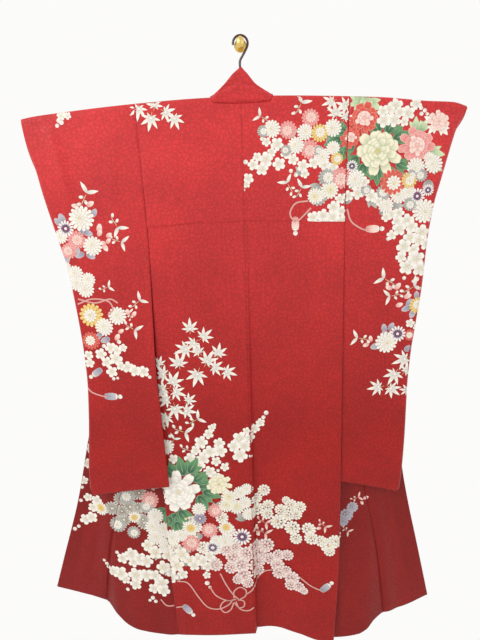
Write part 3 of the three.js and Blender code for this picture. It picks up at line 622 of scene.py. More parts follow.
def cloth_piece(name, points, thickness, flip=False, materials=None):
    uv = laid_flat(points)
    rows, columns = points.shape[:2]
    there = ~np.isnan(points[..., 0])
    number = np.full((rows, columns), -1)
    number[there] = np.arange(there.sum())
    a, b, c, d = number[:-1, :-1], number[1:, :-1], number[1:, 1:], number[:-1, 1:]
    quads = np.stack([d, c, b, a] if flip else [a, b, c, d], -1).reshape(-1, 4)
    quads = quads[(quads >= 0).all(1)]
    vertices = points[there] * MM
    mesh = bpy.data.meshes.new(name)
    mesh.from_pydata(vertices.tolist(), [], quads.tolist())
    layer = mesh.uv_layers.new(name="cloth")
    layer.data.foreach_set("uv", uv[there][quads.ravel()].astype(np.float32).ravel())
    mesh.polygons.foreach_set("use_smooth", np.ones(len(quads), bool))
    for material in materials or (SILK, LINING):
        mesh.materials.append(material)
    piece = bpy.data.objects.new(name, mesh)
    bpy.context.collection.objects.link(piece)
    shell = piece.modifiers.new("thickness", "SOLIDIFY")
    shell.thickness, shell.offset = thickness * MM, 0
    shell.material_offset = 1 if len(mesh.materials) > 1 else 0
    cloth_trees[name] = BVHTree.FromPolygons(vertices.tolist(), quads.tolist())
    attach(piece, "root")
    print(name, len(quads), "quads")
    return piece


def columns(*stops):
    """Columns that go from stop to stop: each stop is (q, how many steps lead to it)."""
    made, last = [0.0], 0.0
    for q, steps in stops:
        made += [last + (q - last) * (i + 1) / steps for i in range(steps)]
        last = q
    return np.array(made)


# %% Body, okumi and sleeves
ROW_MM = 9.0
BACK_Q = {
    "left": columns((1, 34), (2, 5)),
    "right": columns((0.045, 14), (1, 32), (2, 5)),
}
FRONT_Q = columns((1, 5), (2, 18), (3, 6), (4, 26))
BAR_ANGLES = np.array([90, 72, 54, 36, 18])
# rows get closer towards a sleeve's lower end, and columns towards its outer fold
SLEEVE_END_ROWS = [1165, 1168, 1170.5, 1172.5, 1173.6, 1174]
FOLD_Q = np.array([0.3, 0.6, 0.8, 0.93, 1])


def rows_down(start, step=ROW_MM / BACK_LENGTH):
    v = np.concatenate([np.arange(start, TUCK_V - 0.004, step),
                        TUCK_V + np.linspace(-2.2, 2.2, 7) * TUCK_HALF_HEIGHT,
                        np.arange(TUCK_V + 0.006, 1, step), [1.0]])
    return np.unique(v)[:, None]


def with_creases(side, across, off, drop):
    return place(side, across, creased(side, across, off, drop), drop)


for side in SIDES:
    v = rows_down(OVER_BAR / BACK_LENGTH)
    back_q, front_q = BACK_Q[side][None, :], FRONT_Q[None, :]
    across, off, drop = back_path(side, v, back_q)
    back = with_creases(side, across, off, drop)
    top = np.stack([over_bar(side, across[0], angle, 1) for angle in BAR_ANGLES])
    top[:, across[0] < NECK_HALF_WIDTH - 14] = np.nan
    back = np.concatenate([top, back])
    back_piece = cloth_piece(f"back_{side}", back, SILK_THICKNESS, flip=side == "left")
    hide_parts(f"body_{side}")

    across, off, drop = front_cloth(side, v, front_q)
    front = with_creases(side, across, off, drop)
    front[(v < 0.034) & (front_q > 2.01)] = np.nan
    top = np.stack([over_bar(side, across[0], angle, -1) for angle in BAR_ANGLES])
    top[:, front_q[0] > 2.01] = np.nan
    front = np.concatenate([top, front])
    # The fronts take the darker silk, painted shade for the shadow behind the back.
    front_piece = cloth_piece(f"front_{side}", front, SILK_THICKNESS, flip=side == "left",
                              materials=[SHADED_FRONT_SILK, LINING])
    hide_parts(f"body_{side}")

    v = np.concatenate([[OKUMI_TOP_V], v[v[:, 0] > OKUMI_TOP_V + 0.001, 0]])[:, None]
    okumi_q = columns((1, 12), (2, 14))[None, :]
    across, off, drop = okumi_cloth(side, v, okumi_q)
    okumi = with_creases(side, across, off, drop)
    okumi[(v < COLLAR_END_V) & (okumi_q > 1.01)] = np.nan
    # The okumi take the darker silk too, painted shade.
    okumi_piece = cloth_piece(f"okumi_cloth_{side}", okumi, SILK_THICKNESS, flip=side == "left",
                              materials=[SHADED_FRONT_SILK, LINING])
    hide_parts(f"okumi_{side}")

    t = np.concatenate([np.arange(OVER_BAR, 1158, ROW_MM), SLEEVE_END_ROWS])
    t = (t / SLEEVE_END_ROWS[-1])[:, None]
    q = np.concatenate([columns((1, 34), (2, 8), (2.8, 10)), 2.8 + 0.2 * FOLD_Q])[None, :]
    layers = []
    for layer, way in ((0, 1), (1, -1)):
        across, off, drop = sleeve_cloth(side, t, q, layer)
        sheet = with_creases(side, across, off, drop)
        bar = np.stack([over_bar(side, across[0], angle, way) for angle in BAR_ANGLES])
        layers.append(np.concatenate([bar, sheet]))
    sleeve = np.concatenate([layers[0][::-1], layers[1][1:]])
    sleeve_piece = cloth_piece(f"sleeve_cloth_{side}", sleeve, SILK_THICKNESS, flip=side == "right")
    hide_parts(f"sleeve_{side}")

# %% Collar pieces
rows = np.array(collar_half("left")[::-1] + [collar_back_row("left", 0)] + collar_half("right"))
rows = smoothed(rows, 5)
rows = np.swapaxes(smoothed(np.swapaxes(rows, 0, 1), 4), 0, 1)
over_collar = cloth_piece("collar_round_neck", rows, COLLAR_THICKNESS, flip=True, materials=[SILK])
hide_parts("over_collar")
for side in SIDES:
    rows = np.array([collar_front_row(side, v) for v in np.linspace(OVER_COLLAR_END_V + 0.0005,
                                                                  COLLAR_END_V - 0.0005, 60)])
    rows = np.swapaxes(smoothed(np.swapaxes(rows, 0, 1), 4), 0, 1)
    piece = cloth_piece(f"collar_cloth_{side}", rows, COLLAR_THICKNESS, flip=side == "left",
                        materials=[SILK])
    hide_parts(f"collar_{side}")

# %% [markdown]
# ## Dyed flowers
# The pattern is yuzen work: a line of paste is drawn round every petal, and the dyer brushes colour
# inside it, so each petal is pale with a shaded edge. Such a pattern could be a texture, but here
# every petal is a small patch of mesh. That keeps its outline sharp at any size, and a colour at
# each of its points shades it from heart and base to tip and edge. Patches are laid on the cloth
# by casting a ray from the room onto it, so they follow every fold.

# %% Petals
PETAL_RINGS = (0.5, 0.86, 1.0)


def petal(x, y, length, width, turn, colours, notch=0.0, point=0.0, sides=10):
    """One patch: outline, heart, how near the tip each point is, and colours at base, tip, edge."""
    t = np.arange(sides) * 2 * np.pi / sides
    off_tip = np.minimum(t, 2 * np.pi - t)
    px = length / 2 * (np.cos(t) - 2 * notch * np.exp(-(off_tip / 0.4) ** 2))
    py = width / 2 * np.sin(t) * (1 - point * np.maximum(0, np.cos(t)))
    c, s = math.cos(math.radians(turn)), math.sin(math.radians(turn))
    outline = np.stack([x + c * px - s * py, y + s * px + c * py], -1)
    return outline, np.array([x, y]), 0.5 + px / length, colours


def ring(count, radius, length, width, colours, start=0.0, centre=(0.0, 0.0), uneven=0.0,
         **form):
    """Petals set round a centre, all pointing outward. Uneven is how much they differ."""
    made = []
    for i in range(count):
        turn = start + 360 * i / count
        a = math.radians(turn)
        more = 1 + uneven * math.sin(2.4 * i * i + 5 * radius)
        made.append(petal(centre[0] + radius * more * math.cos(a),
                          centre[1] + radius * more * math.sin(a), length * more,
                          width * (2 - more), turn + 60 * uneven * math.sin(3.1 * i), colours,
                          **form))
    return made


# petals: base, tip, edge; then the colours of the flower's middle
DYES = {
    "white": (("c6c2b8", "f1ebdf", "cdc4ba"), ("e9dfc0", "d9c897", "b39c74")),
    "cream": (("c4bc98", "ece4c8", "c6b995"), ("e4d190", "d6b868", "b7944f")),
    "ivory": (("cdc6b8", "f1ebdc", "b9a99c"), ("f0e6c2", "dcc78e", "b89a62")),
    "pink": (("cf5f60", "e39790", "ecd0c4"), ("f0dcc4", "e2b096", "c06c66")),
    "blush": (("d78d84", "efd6ca", "d2a69c"), ("ecd2ae", "dcac90", "c4877e")),
    "coral": (("b8302b", "d65243", "ecac94"), ("efdccb", "e6a78f", "cb4c42")),
    "yellow": (("cf9f45", "e6cc80", "c99a3f"), ("e6cf84", "cda04a", "a57b34")),
    "lilac": (("84808e", "b3aeb6", "d2ced0"), ("dcd8dc", "a9a0b4", "7b6f8a")),
    "haze": (("85857f", "b5b3aa", "98978c"), ("c6c4bc", "a5a49b", "80807a")),
    "grey": (("98948c", "cbc7bb", "a39e94"), ("d4cfbe", "b4ae9c", "8e8878")),
    "rose": (("b98a88", "efe2d8", "cdaaa6"), ("efdfcb", "ddbfae", "bd9490")),
    "purple": (("ddd6d2", "f0ebe2", "a793a6"), ("eadfe0", "76607e", "4f3c5a")),
    "green": (("1c4c39", "5b8c5d", "86a87c"), ("b9ce9c", "8fb07c", "6a8f60")),
    "pale": (("7fa06e", "ccd8b0", "a3b68a"), ("e2e4c6", "c4d09e", "93ad78")),
}


def dyes(name):
    return [[np.array(colour(c)) for c in row] for row in DYES[name]]


# %% Flowers
def bud(tint):
    petals, _ = dyes(tint)
    return [petal(0, 0, 2, 1.9, 0, petals, sides=9)]


def oval(tint):
    petals, _ = dyes(tint)
    return [petal(0, 0, 2.3, 1.5, 0, petals, point=0.25)]


def blossom(tint):
    """Cherry: five petals, each with a nick at its tip."""
    petals, middle = dyes(tint)
    petals = [petals[0] * 1.15, petals[1], petals[2]]
    dots = ring(5, 0.36, 0.13, 0.1, (middle[1], middle[1], middle[2]), start=36, sides=5)
    return (ring(5, 0.56, 0.9, 0.74, petals, notch=0.09, sides=12) + dots
            + [petal(0, 0, 0.36, 0.36, 0, middle, sides=8)])


MUM_OUTER = {"pink": "pink", "yellow": "white", "gold": "yellow", "lilac": "haze", "white": "white",
             "cream": "ivory", "coral": "coral"}
MUM_INNER = {"pink": "blush", "yellow": "yellow", "gold": "ivory", "lilac": "white", "white": "ivory",
             "cream": "cream", "coral": "ivory"}


def mum(tint, lean=0.16):
    """Chrysanthemum: rings of narrow petals, outer and inner dyed apart, its middle off centre."""
    outer, _ = dyes(MUM_OUTER[tint])
    inner, middle = dyes(MUM_INNER[tint])
    made = ring(15, 0.76, 0.5, 0.3, outer, notch=0.04)
    made += ring(13, 0.56, 0.46, 0.27, outer, start=9, centre=(0, 0.25 * lean))
    made += ring(11, 0.38, 0.4, 0.24, inner, start=3, centre=(0, 0.6 * lean), sides=8)
    made += ring(8, 0.2, 0.3, 0.17, inner, start=15, centre=(0, 0.8 * lean), sides=8)
    return made + [petal(0, lean, 0.22, 0.22, 0, middle, sides=8)]


def round_mum(tint):
    """The small round kind that the dyer draws in rows, seen a little from the side."""
    petals, middle = dyes(tint)
    made = ring(11, 0.72, 0.56, 0.42, petals, notch=0.05)
    made += ring(8, 0.38, 0.46, 0.3, petals, start=12, centre=(0, 0.14), sides=8)
    return made + [petal(0, 0.2, 0.36, 0.32, 0, middle, sides=8)]


def daisy(tint):
    petals, middle = dyes(tint)
    made = ring(14, 0.72, 0.56, 0.27, petals)
    made += ring(12, 0.38, 0.34, 0.19, (middle[2], middle[1], middle[2]), sides=8)
    return made + [petal(0, 0, 0.36, 0.36, 0, (middle[0],) * 3, sides=8)]


def peony(tint):
    """Peony: broad petals in rings that overlap, the innermost cupped round the stamens."""
    petals, middle = dyes("cream" if tint == "green" else tint)
    if tint == "green":
        petals = [dyes("pale")[0][0] * 0.6 + petals[0] * 0.4, petals[1], dyes("pale")[0][2]]
    inner = dyes("blush")[0] if tint in ("pink", "coral") else petals
    form = {"uneven": 0.18, "sides": 14}
    made = ring(9, 0.7, 0.66, 0.56, petals, notch=0.12, **form)
    made += ring(8, 0.52, 0.58, 0.46, petals, start=20, notch=0.12, **form)
    made += ring(7, 0.34, 0.5, 0.38, inner, start=5, notch=0.12, **form)
    made += ring(5, 0.17, 0.36, 0.28, inner, start=40, notch=0.1, **form)
    return made + ring(6, 0.07, 0.1, 0.07, middle, sides=6)


def leaf(tint):
    """A peony leaf: three pointed lobes, dark at the stem, with a pale vein in each."""
    petals, middle = dyes(tint)
    made = []
    for turn, size in ((38, 0.8), (-38, 0.8), (0, 1.0)):
        a = math.radians(turn)
        x, y = size * math.cos(a) * 0.68 - 0.4, size * math.sin(a) * 0.68
        made.append(petal(x, y, 1.75 * size, 0.86 * size, turn, petals, point=0.6, sides=14))
        made.append(petal(x - 0.06, y, 1.1 * size, 0.045, turn, middle, sides=6))
    return made


def maple(tint):
    """A maple leaf: seven pointed lobes spread like fingers."""
    petals, middle = dyes(tint)
    made = []
    for turn, size in ((-128, 0.5), (-88, 0.78), (-44, 0.98), (128, 0.5), (88, 0.78), (44, 0.98),
                       (0, 1.1)):
        a = math.radians(turn)
        made.append(petal(size * math.cos(a) * 0.64, size * math.sin(a) * 0.64, size * 1.36,
                          size * 0.42, turn, petals, point=0.72))
    made += [petal(-0.35, 0, 0.7, 0.05, 180, middle, sides=6)]
    return made + [petal(0, 0, 0.34, 0.34, 0, petals, sides=8)]


def sprig(tint):
    """A twig tip: two pointed leaves like wings, and small round ones on the stem below."""
    petals, middle = dyes(tint)
    made = [petal(0.66, 0.4, 1.05, 0.36, 58, petals, point=0.7),
            petal(0.66, -0.38, 1.0, 0.36, -54, petals, point=0.7),
            petal(-0.2, 0, 1.1, 0.06, 0, middle, sides=6)]
    for x, y, turn in ((-0.15, 0.27, 120), (-0.35, -0.25, 235), (-0.75, 0.2, 140)):
        made.append(petal(x, y, 0.42, 0.27, turn, petals, sides=8))
    return made


def tassel(tint):
    """A silk tassel: a pale knot, and a skirt of threads."""
    threads, _ = dyes(tint)
    knot, _ = dyes("white")
    made = [petal(-0.3, y, 1.5, 0.42, y * 10, threads) for y in (-0.22, 0.22)]
    made += [petal(-0.3, 0, 1.6, 0.5, 0, threads), petal(0.35, 0, 0.3, 0.62, 0, knot, sides=8)]
    return made + [petal(0.78, 0, 0.56, 0.54, 0, knot)]


FLOWERS = {"bud": bud, "oval": oval, "blossom": blossom, "mum": mum, "round": round_mum,
           "daisy": daisy, "peony": peony, "leaf": leaf, "maple": maple, "sprig": sprig,
           "tassel": tassel}
print("flowers:", {name: len(make("white")) for name, make in FLOWERS.items()}, "petals each")

# %% [markdown]
# ## Where the flowers are
# Each row has a kind of flower, its dye and a list of places in the picture: the pixel of its
# middle, its radius in pixels and, where it matters, the way that it points in degrees. A cord's
# row lists the points it passes. Flowers with no way given are turned by chance, with a seed, so
# every run is the same.

# %% Places
SHOULDER = [
    ("maple", "white", [(332, 101, 8, 200), (346, 106, 8, 160), (336, 114, 9, 100),
        (345, 118, 7, 60)]),
    ("leaf", "pale", [(357, 101, 8, 200), (372, 104, 8, 330), (366, 99, 7, 270)]),
    ("blossom", "white", [(266.5, 142, 5), (277, 144, 7), (265.6, 159.6, 8), (253, 164.6, 6),
        (262, 169, 7), (248, 178.7, 6), (246.5, 184, 4), (279, 164, 7), (293, 159.6, 6),
        (303, 166, 6.5), (304.6, 173.7, 5), (286, 153, 6), (272, 152, 5), (314, 163, 6),
        (324, 165, 6), (333, 167, 6), (257, 157, 5)]),
    ("bud", "white", [(237.5, 188.6, 2), (240.7, 184.5, 2.2), (243.5, 190, 1.8),
        (245.6, 162, 2.5), (296, 175, 2), (262, 139, 2), (291, 171, 2)]),
    ("leaf", "green", [(336, 141, 9, 200), (343.5, 152, 8, 250), (376.7, 127.5, 9, 120),
        (390, 127.5, 9, 60), (399, 136.5, 9, 20), (354, 160.5, 8, 220), (362.6, 170, 9, 260),
        (377.5, 174, 8, 270), (388.5, 172, 8, 300), (401, 165, 8, 340), (342, 131, 8, 150),
        (350, 147, 7, 200)]),
    ("mum", "pink", [(288, 130, 9), (310.4, 118, 9), (309.5, 149.6, 9.5), (340.5, 178, 11)]),
    ("mum", "white", [(272, 129, 9), (305, 132, 8), (333, 128, 9), (296, 145.5, 8.5),
        (322, 156, 8), (333, 148, 7)]),
    ("mum", "lilac", [(263, 131, 6), (286, 150.5, 5.5), (318.5, 151, 5.5), (327, 178, 9.5),
        (318, 196, 10)]),
    ("mum", "gold", [(319.5, 133, 9), (337, 159, 6.5)]),
    ("mum", "cream", [(329.5, 190, 9), (315, 196, 8)]),
    ("sprig", "white", [(299.6, 106.5, 9, 60), (263, 118, 7, 150), (289, 186, 8, 120),
        (300, 191, 8, 60)]),
    ("peony", "coral", [(364, 118, 15), (350.5, 137, 10)]),
    ("peony", "green", [(377.5, 151.5, 22)]),
    ("leaf", "pale", [(415.7, 126.5, 7, 90), (434, 153, 8, 350), (423, 127, 6, 60),
        (434, 166, 7, 330)]),
    ("peony", "pink", [(417, 145, 17)]),
    ("blossom", "white", [(384, 120, 8), (395.8, 105.5, 8), (394, 120, 7.5), (408, 113, 7.5),
        (416, 103.5, 6.5), (400, 112, 6), (389, 109, 6), (383, 111, 6), (404, 122, 5)]),
    ("bud", "white", [(421.5, 113.5, 2.2), (424.7, 110.5, 2.2), (421, 108, 2), (427, 114, 1.8)]),
    ("leaf", "white", [(430, 120, 5, 150), (443, 129, 5.5, 310), (433, 128, 5, 230)]),
    ("peony", "blush", [(439, 121, 10)]),
    ("mum", "white", [(415.7, 167, 9), (433.5, 164, 9), (399, 194.4, 9), (424, 211, 12),
        (356, 180, 10), (385.8, 205, 8), (409, 192, 7), (429, 158, 6)]),
    ("mum", "lilac", [(421, 175, 6.5), (383, 193, 8), (366, 190, 6), (410, 204, 7),
        (412, 175, 6)]),
    ("mum", "coral", [(392.5, 182, 13)]),
    ("mum", "gold", [(409, 180, 8)]),
    ("daisy", "purple", [(417, 196, 8), (428, 190, 6), (352, 166, 6)]),
    ("blossom", "white", [(357.6, 193, 7), (371, 196, 7), (348, 196, 6), (364, 182, 6),
        (378, 201, 5), (391, 214, 6), (399, 212.7, 6), (386, 217, 5), (407, 221, 8),
        (399, 229, 7.5), (391.5, 235, 5.5), (422, 232.6, 8.5), (410, 237.5, 7.5),
        (418.5, 240, 7), (404, 246.5, 8.5), (425.6, 244, 6.5), (413, 250, 6.5),
        (406.6, 267, 8.5), (415.7, 258.5, 9), (419.5, 268.5, 8), (401, 257, 6), (411, 226, 7),
        (397, 221, 6)]),
    ("bud", "white", [(404, 278, 2), (417, 279, 2.2), (388, 239, 2), (413, 281, 1.6)]),
    ("sprig", "white", [(387.5, 280.5, 9, 150), (410.5, 288.5, 9, 30), (393.6, 295.3, 8, 190)]),
    ("oval", "blush", [(389, 287.7, 3.2, 160), (397.8, 286, 3.6, 50), (407.7, 296, 3.6, 20),
        (399.3, 304.9, 3.4, 20)]),
    ("oval", "lilac", [(408.9, 302.5, 4, 60), (405.8, 308.5, 4.2, 200), (412, 313.5, 4.2, 250),
        (416.5, 295, 3.5, 90)]),
    ("mum", "gold", [(417.3, 305.2, 8.5)]),
    ("oval", "lilac", [(384, 328, 4, 100), (391, 326.5, 4, 60), (386, 334, 4, 150),
        (375.5, 346, 5, 200), (408.9, 348, 4.5, 20)]),
    ("mum", "white", [(385.9, 342.5, 11)]),
    ("daisy", "purple", [(397.4, 333.6, 8.5)]),
    ("mum", "coral", [(409.8, 335, 6)]),
    ("blossom", "white", [(410, 323, 5), (416, 327, 3.5)]),
    ("sprig", "white", [(361, 338.5, 8, 170)]),
    ("oval", "blush", [(370.6, 338.5, 3, 100), (365.6, 345, 3, 200)]),
    ("maple", "white", [(405, 358.8, 10, 200), (395, 373.3, 9.5, 240), (405.8, 371, 8, 40),
        (379, 387, 8.5, 190), (390.5, 388, 8.5, 320), (407, 390, 6, 170)]),
]
TUCKED = [
    ("blossom", "white", [(313, 217.5, 6.5), (323, 215.5, 7), (333, 217.5, 7.5),
        (333.5, 207.5, 7), (341, 211, 5.5), (340, 199, 5.5)]),
]
MAPLES = [
    ("maple", "white", [(138.5, 108.4, 9, 260), (154.6, 105.5, 8.5, 80),
        (150.8, 117.6, 9.5, 255), (165.3, 112, 8.5, 330), (174.5, 118.3, 8.5, 290)]),
    ("blossom", "white", [(61, 116, 4.5), (67.5, 116, 4)]),
    ("bud", "white", [(59, 120.6, 2.4), (61.5, 122.5, 2.4), (57.4, 125.5, 2.2),
        (63.5, 112.5, 2)]),
]
SLEEVE_FLOWERS = [
    ("sprig", "white", [(85, 197, 10, 60)]),
    ("oval", "blush", [(75.5, 206, 3.5, 160), (90.5, 204, 3.8, 30)]),
    ("oval", "lilac", [(94, 213, 4, 60), (62, 219, 5, 110), (58, 222, 4, 130), (84, 229, 5, 30),
        (88, 233, 4.5, 340), (80, 255, 4.5, 200), (91, 256, 4.5, 330), (77, 249, 4, 300),
        (62, 262, 4.5, 250), (67, 258, 4.5, 280)]),
    ("mum", "white", [(81.5, 218.5, 13), (92.6, 246, 10), (60.5, 237, 7), (75, 274, 8.5),
        (88, 280, 7.5), (85.7, 289, 9), (76.5, 283.5, 7.5), (65.8, 267, 6)]),
    ("mum", "pink", [(76.5, 240, 9.5), (69, 251, 8)]),
    ("daisy", "purple", [(65.8, 228.5, 8.5)]),
    ("sprig", "white", [(115.6, 224, 9, 300), (118, 240.8, 8, 340)]),
    ("oval", "blush", [(99.5, 228, 4, 80), (100, 233, 3.5, 60), (109, 235, 3, 30),
        (105.6, 247.7, 3.6, 300), (103, 243, 3, 170), (108.5, 241, 3, 50)]),
    ("sprig", "white", [(106, 288, 6, 20), (137, 303, 8, 40), (131.5, 328, 8, 330),
        (130, 315, 5, 100)]),
    ("oval", "blush", [(134, 314, 3, 50), (128, 312, 3, 100), (117.5, 337, 3.5, 60),
        (121, 331, 3, 30)]),
    ("mum", "gold", [(91.4, 315, 12.5)]),
    ("mum", "white", [(117.5, 316, 9.5), (104.4, 327, 9.5)]),
    ("oval", "lilac", [(105.5, 340, 4.5, 200), (99, 336, 4, 230)]),
    ("mum", "coral", [(91.4, 340.5, 9.5)]),
    ("blossom", "white", [(111, 347.7, 6.5), (123, 347.7, 4.5), (101, 354, 6.5),
        (116, 358.5, 7.5), (107, 362, 6), (112, 371.5, 6.5), (90, 363, 5.5), (89, 355, 5),
        (128, 367, 6.5), (135, 370.5, 6.5), (143.5, 371.5, 6.5), (121, 366, 5),
        (117, 350, 5.5)]),
    ("bud", "white", [(150, 377, 1.8), (114, 378.5, 2), (118, 378, 1.6), (104, 346, 2.2),
        (119, 342, 2.2)]),
    ("cord", "blush", [(78, 304), (92, 299), (108, 301), (113, 309), (108, 315)]),
    ("cord", "blush", [(78, 299), (95, 303), (110, 299), (118, 303)]),
    ("cord", "blush", [(86, 384), (92, 392), (103, 396), (108, 396.5)]),
    ("tassel", "lilac", [(95.8, 373.5, 8, 215), (113.5, 396.3, 9, 0)]),
]
HEM_FLOWERS = [
    ("maple", "white", [(190, 329, 8.5, 90), (203, 337, 8.5, 40), (194.4, 343, 8.5, 220),
        (186, 349, 9.5, 200), (218.3, 354, 8.5, 80), (207, 361.8, 9.5, 60), (179, 364, 9.5, 100),
        (214, 367.5, 8.5, 350), (197.7, 373.7, 10.5, 250), (225.9, 371.5, 8.5, 340),
        (164, 373.7, 9.5, 170), (159.7, 364, 7, 120), (172.7, 382.4, 9.5, 60),
        (164, 389, 9.5, 190), (175, 392, 8.5, 340), (167.3, 399.7, 8.5, 180),
        (175, 408, 9.5, 280), (166.5, 417, 9, 230), (185.7, 410.6, 8.5, 350),
        (188, 400.8, 7, 40), (163, 424, 6.5, 200), (199, 352, 7, 130)]),
    ("sprig", "white", [(194.4, 420.5, 8, 30), (181.4, 431, 9, 340), (188, 449.6, 8, 340),
        (173, 441, 6, 60)]),
    ("mum", "white", [(166, 447, 8.5)]),
    ("blossom", "white", [(173.8, 459, 5.5), (211.8, 428, 4.5), (208.5, 434, 5.5),
        (201, 442, 7.5), (209.6, 451.8, 7.5), (219.3, 443, 6.5), (220.4, 450.5, 7.5),
        (240, 438.8, 8.5), (233.4, 446, 6.5), (244.3, 446, 7.5), (240, 455, 8.5),
        (255, 428, 5.5), (260.5, 422.5, 5), (246.5, 431, 4.5), (224.8, 467, 5),
        (190, 458.3, 6.5), (198.8, 464.8, 7.5), (203, 458, 7.5), (209.6, 471, 6.5),
        (216, 461, 5.5), (249.5, 438, 6), (196, 450, 5.5), (215, 476, 6)]),
    ("bud", "white", [(266, 412.7, 2.4), (263.5, 417, 2.2), (214.5, 425, 2), (227, 464, 2),
        (170, 436, 2), (250.5, 456, 2), (218, 470, 1.8)]),
    ("leaf", "green", [(182, 469, 10, 100), (170.6, 471.5, 9, 150), (192, 468, 9, 60),
        (203, 484, 10, 10), (209, 493, 9, 340), (202, 500, 9, 300), (163.5, 513, 9, 220),
        (175, 518.5, 9, 260), (183, 514.6, 9, 300), (169, 521, 8, 240), (178, 526, 8, 280),
        (198, 478, 8, 40)]),
    ("peony", "white", [(178.5, 492, 21)]),
    ("peony", "cream", [(219, 484, 12)]),
    ("mum", "pink", [(150, 499.5, 9), (215, 510.3, 7.5)]),
    ("mum", "cream", [(229, 497.3, 8.5), (226, 505, 7.5), (237, 506.5, 8)]),
    ("mum", "white", [(240, 492, 7), (246.5, 488.6, 6.5), (248.6, 513.5, 7), (245, 502, 7)]),
    ("round", "ivory", [(263.8, 490, 6.5), (256.6, 497.3, 6), (268, 505, 6.5), (256.6, 508, 7.5),
        (267, 513, 6.5), (280.8, 509.5, 6.5), (278.3, 521, 8.5), (291, 504.4, 6.5),
        (300, 507, 6.5), (296, 514, 6.5), (288, 514.5, 6.5), (292.3, 527, 8.5), (296, 538, 6.5),
        (308.9, 529, 7.5), (311.4, 538, 7.5), (321, 541, 6.5), (328, 545.5, 8.5),
        (335.5, 541.4, 7.5), (329.3, 551, 6), (286, 500, 4.5)]),
    ("sprig", "blush", [(263, 521, 7, 330), (262.3, 531.2, 7, 330), (322.9, 524.8, 6, 320),
        (356, 498, 5, 20), (345.9, 530, 5, 320)]),
    ("oval", "blush", [(255.3, 526, 3, 60), (257.5, 532.5, 3, 300), (318.6, 528, 2.5, 200),
        (365.6, 497.4, 2.6, 20), (362, 502.5, 2, 300)]),
    ("mum", "lilac", [(127, 497, 9), (118.5, 524, 9), (134, 532, 7), (146, 507, 7)]),
    ("mum", "yellow", [(134.8, 517, 6.5), (101, 508, 7.5)]),
    ("daisy", "grey", [(112, 508, 8), (122, 511, 7), (143, 519, 6), (138, 507, 6)]),
    ("blossom", "white", [(88, 497, 5), (86, 519, 6.5), (92, 517, 6.5), (97, 500, 6),
        (93, 507, 5.5), (84, 480, 5), (87, 463, 6), (90, 448, 6), (86, 438, 4)]),
    ("bud", "white", [(75, 528.7, 2.4), (79, 526, 2), (81, 500, 2), (82, 487, 2)]),
    ("mum", "white", [(155.4, 516, 8.5), (153, 527, 8.5), (155.4, 537, 8.5), (164, 529, 8),
        (172.7, 537, 9), (166.2, 546, 8.5), (199, 509, 7.5)]),
    ("mum", "yellow", [(190, 527.6, 8), (225.9, 527.6, 7.5)]),
    ("daisy", "lilac", [(200, 518, 7)]),
    ("mum", "pink", [(191, 543, 9.5), (209.6, 530, 8.5)]),
    ("mum", "white", [(225.9, 541, 9), (181, 535, 7), (216, 540, 6)]),
    ("daisy", "purple", [(212.8, 547.5, 8.5), (242, 536.5, 9.5)]),
    ("blossom", "ivory", [(168.4, 554, 8.5), (155.4, 552, 8), (181.4, 554, 8.5), (177, 565, 8.5),
        (164, 567, 8), (190, 560, 7), (148, 545, 7)]),
    ("blossom", "white", [(131.5, 554, 7.5), (122.9, 558, 6.5), (140, 558.5, 7.5),
        (133.7, 562, 6), (146.7, 561, 7.5), (120.7, 573, 8.5), (113.5, 571, 6.5),
        (136, 575, 8.5), (146.7, 575, 7.5), (136, 584, 6.5), (126, 579, 5.5), (155, 575, 6.5),
        (162, 583, 8), (164, 590, 7), (172, 576, 7.5), (154, 588, 6), (198.8, 558, 6.5),
        (194.4, 565, 6.5), (207.4, 566.7, 5.5), (209.6, 556, 6.5), (203, 561, 6),
        (207, 575, 4.5), (183, 574, 6)]),
    ("bud", "white", [(104.4, 560, 1.6), (109, 566, 2.4), (107, 563, 2), (117, 552, 2),
        (153, 597.5, 2.4), (156, 601, 2), (150, 600, 1.8), (207.4, 583, 2.6), (210, 587, 1.8),
        (128, 589, 2)]),
    ("round", "rose", [(227, 550, 7.5), (233.4, 556, 8.5), (242, 565, 8.5), (231.3, 567, 7.5),
        (246.5, 553.7, 8.5), (244.3, 575.5, 8.5), (255, 545.5, 7), (259.5, 552, 8),
        (266, 544.5, 8.5), (257.3, 561, 8.5), (270.3, 557.5, 7), (278.5, 554, 6.5),
        (287.4, 554.2, 6.5), (277.5, 564, 7.5), (279.5, 571.5, 7.5), (286.5, 569.5, 5.5),
        (258, 569, 6.5), (292.3, 577, 8), (291, 584, 6.5), (299, 586, 6), (304, 590, 4.5),
        (236, 547, 6), (216, 564.5, 7.5), (247.7, 582, 6.5), (238, 579, 6)]),
    ("round", "lilac", [(346.5, 514.6, 7), (352.5, 507, 6), (343, 521, 5.5)]),
    ("cord", "blush", [(177, 580.8), (188, 583), (199, 597), (208, 606.8), (219.5, 608.5),
        (229, 604), (232, 600)]),
    ("cord", "blush", [(220.4, 573), (226, 584), (233, 594), (240, 600)]),
    ("cord", "blush", [(209.6, 586), (216, 595), (227, 600), (236, 599)]),
    ("cord", "blush", [(232, 600), (224, 601), (220.5, 607), (225, 612), (231, 609),
        (234, 602)]),
    ("cord", "blush", [(234, 598), (234, 591), (240, 587), (246, 590), (245, 596), (238, 600)]),
    ("cord", "blush", [(236, 601), (239, 607), (244, 606), (244, 601), (238, 599)]),
    ("cord", "blush", [(234, 602), (241, 609), (249, 610), (254, 607)]),
    ("cord", "blush", [(246, 594), (252, 590), (256, 579.7), (264, 571), (272, 569.5)]),
    ("cord", "blush", [(298.7, 576), (310, 585), (321.6, 590.5)]),
    ("cord", "blush", [(160.8, 599), (168.4, 605.7), (183.6, 606)]),
    ("tassel", "lilac", [(189, 610.5, 8, 310), (327, 586.5, 8, 45)]),
]
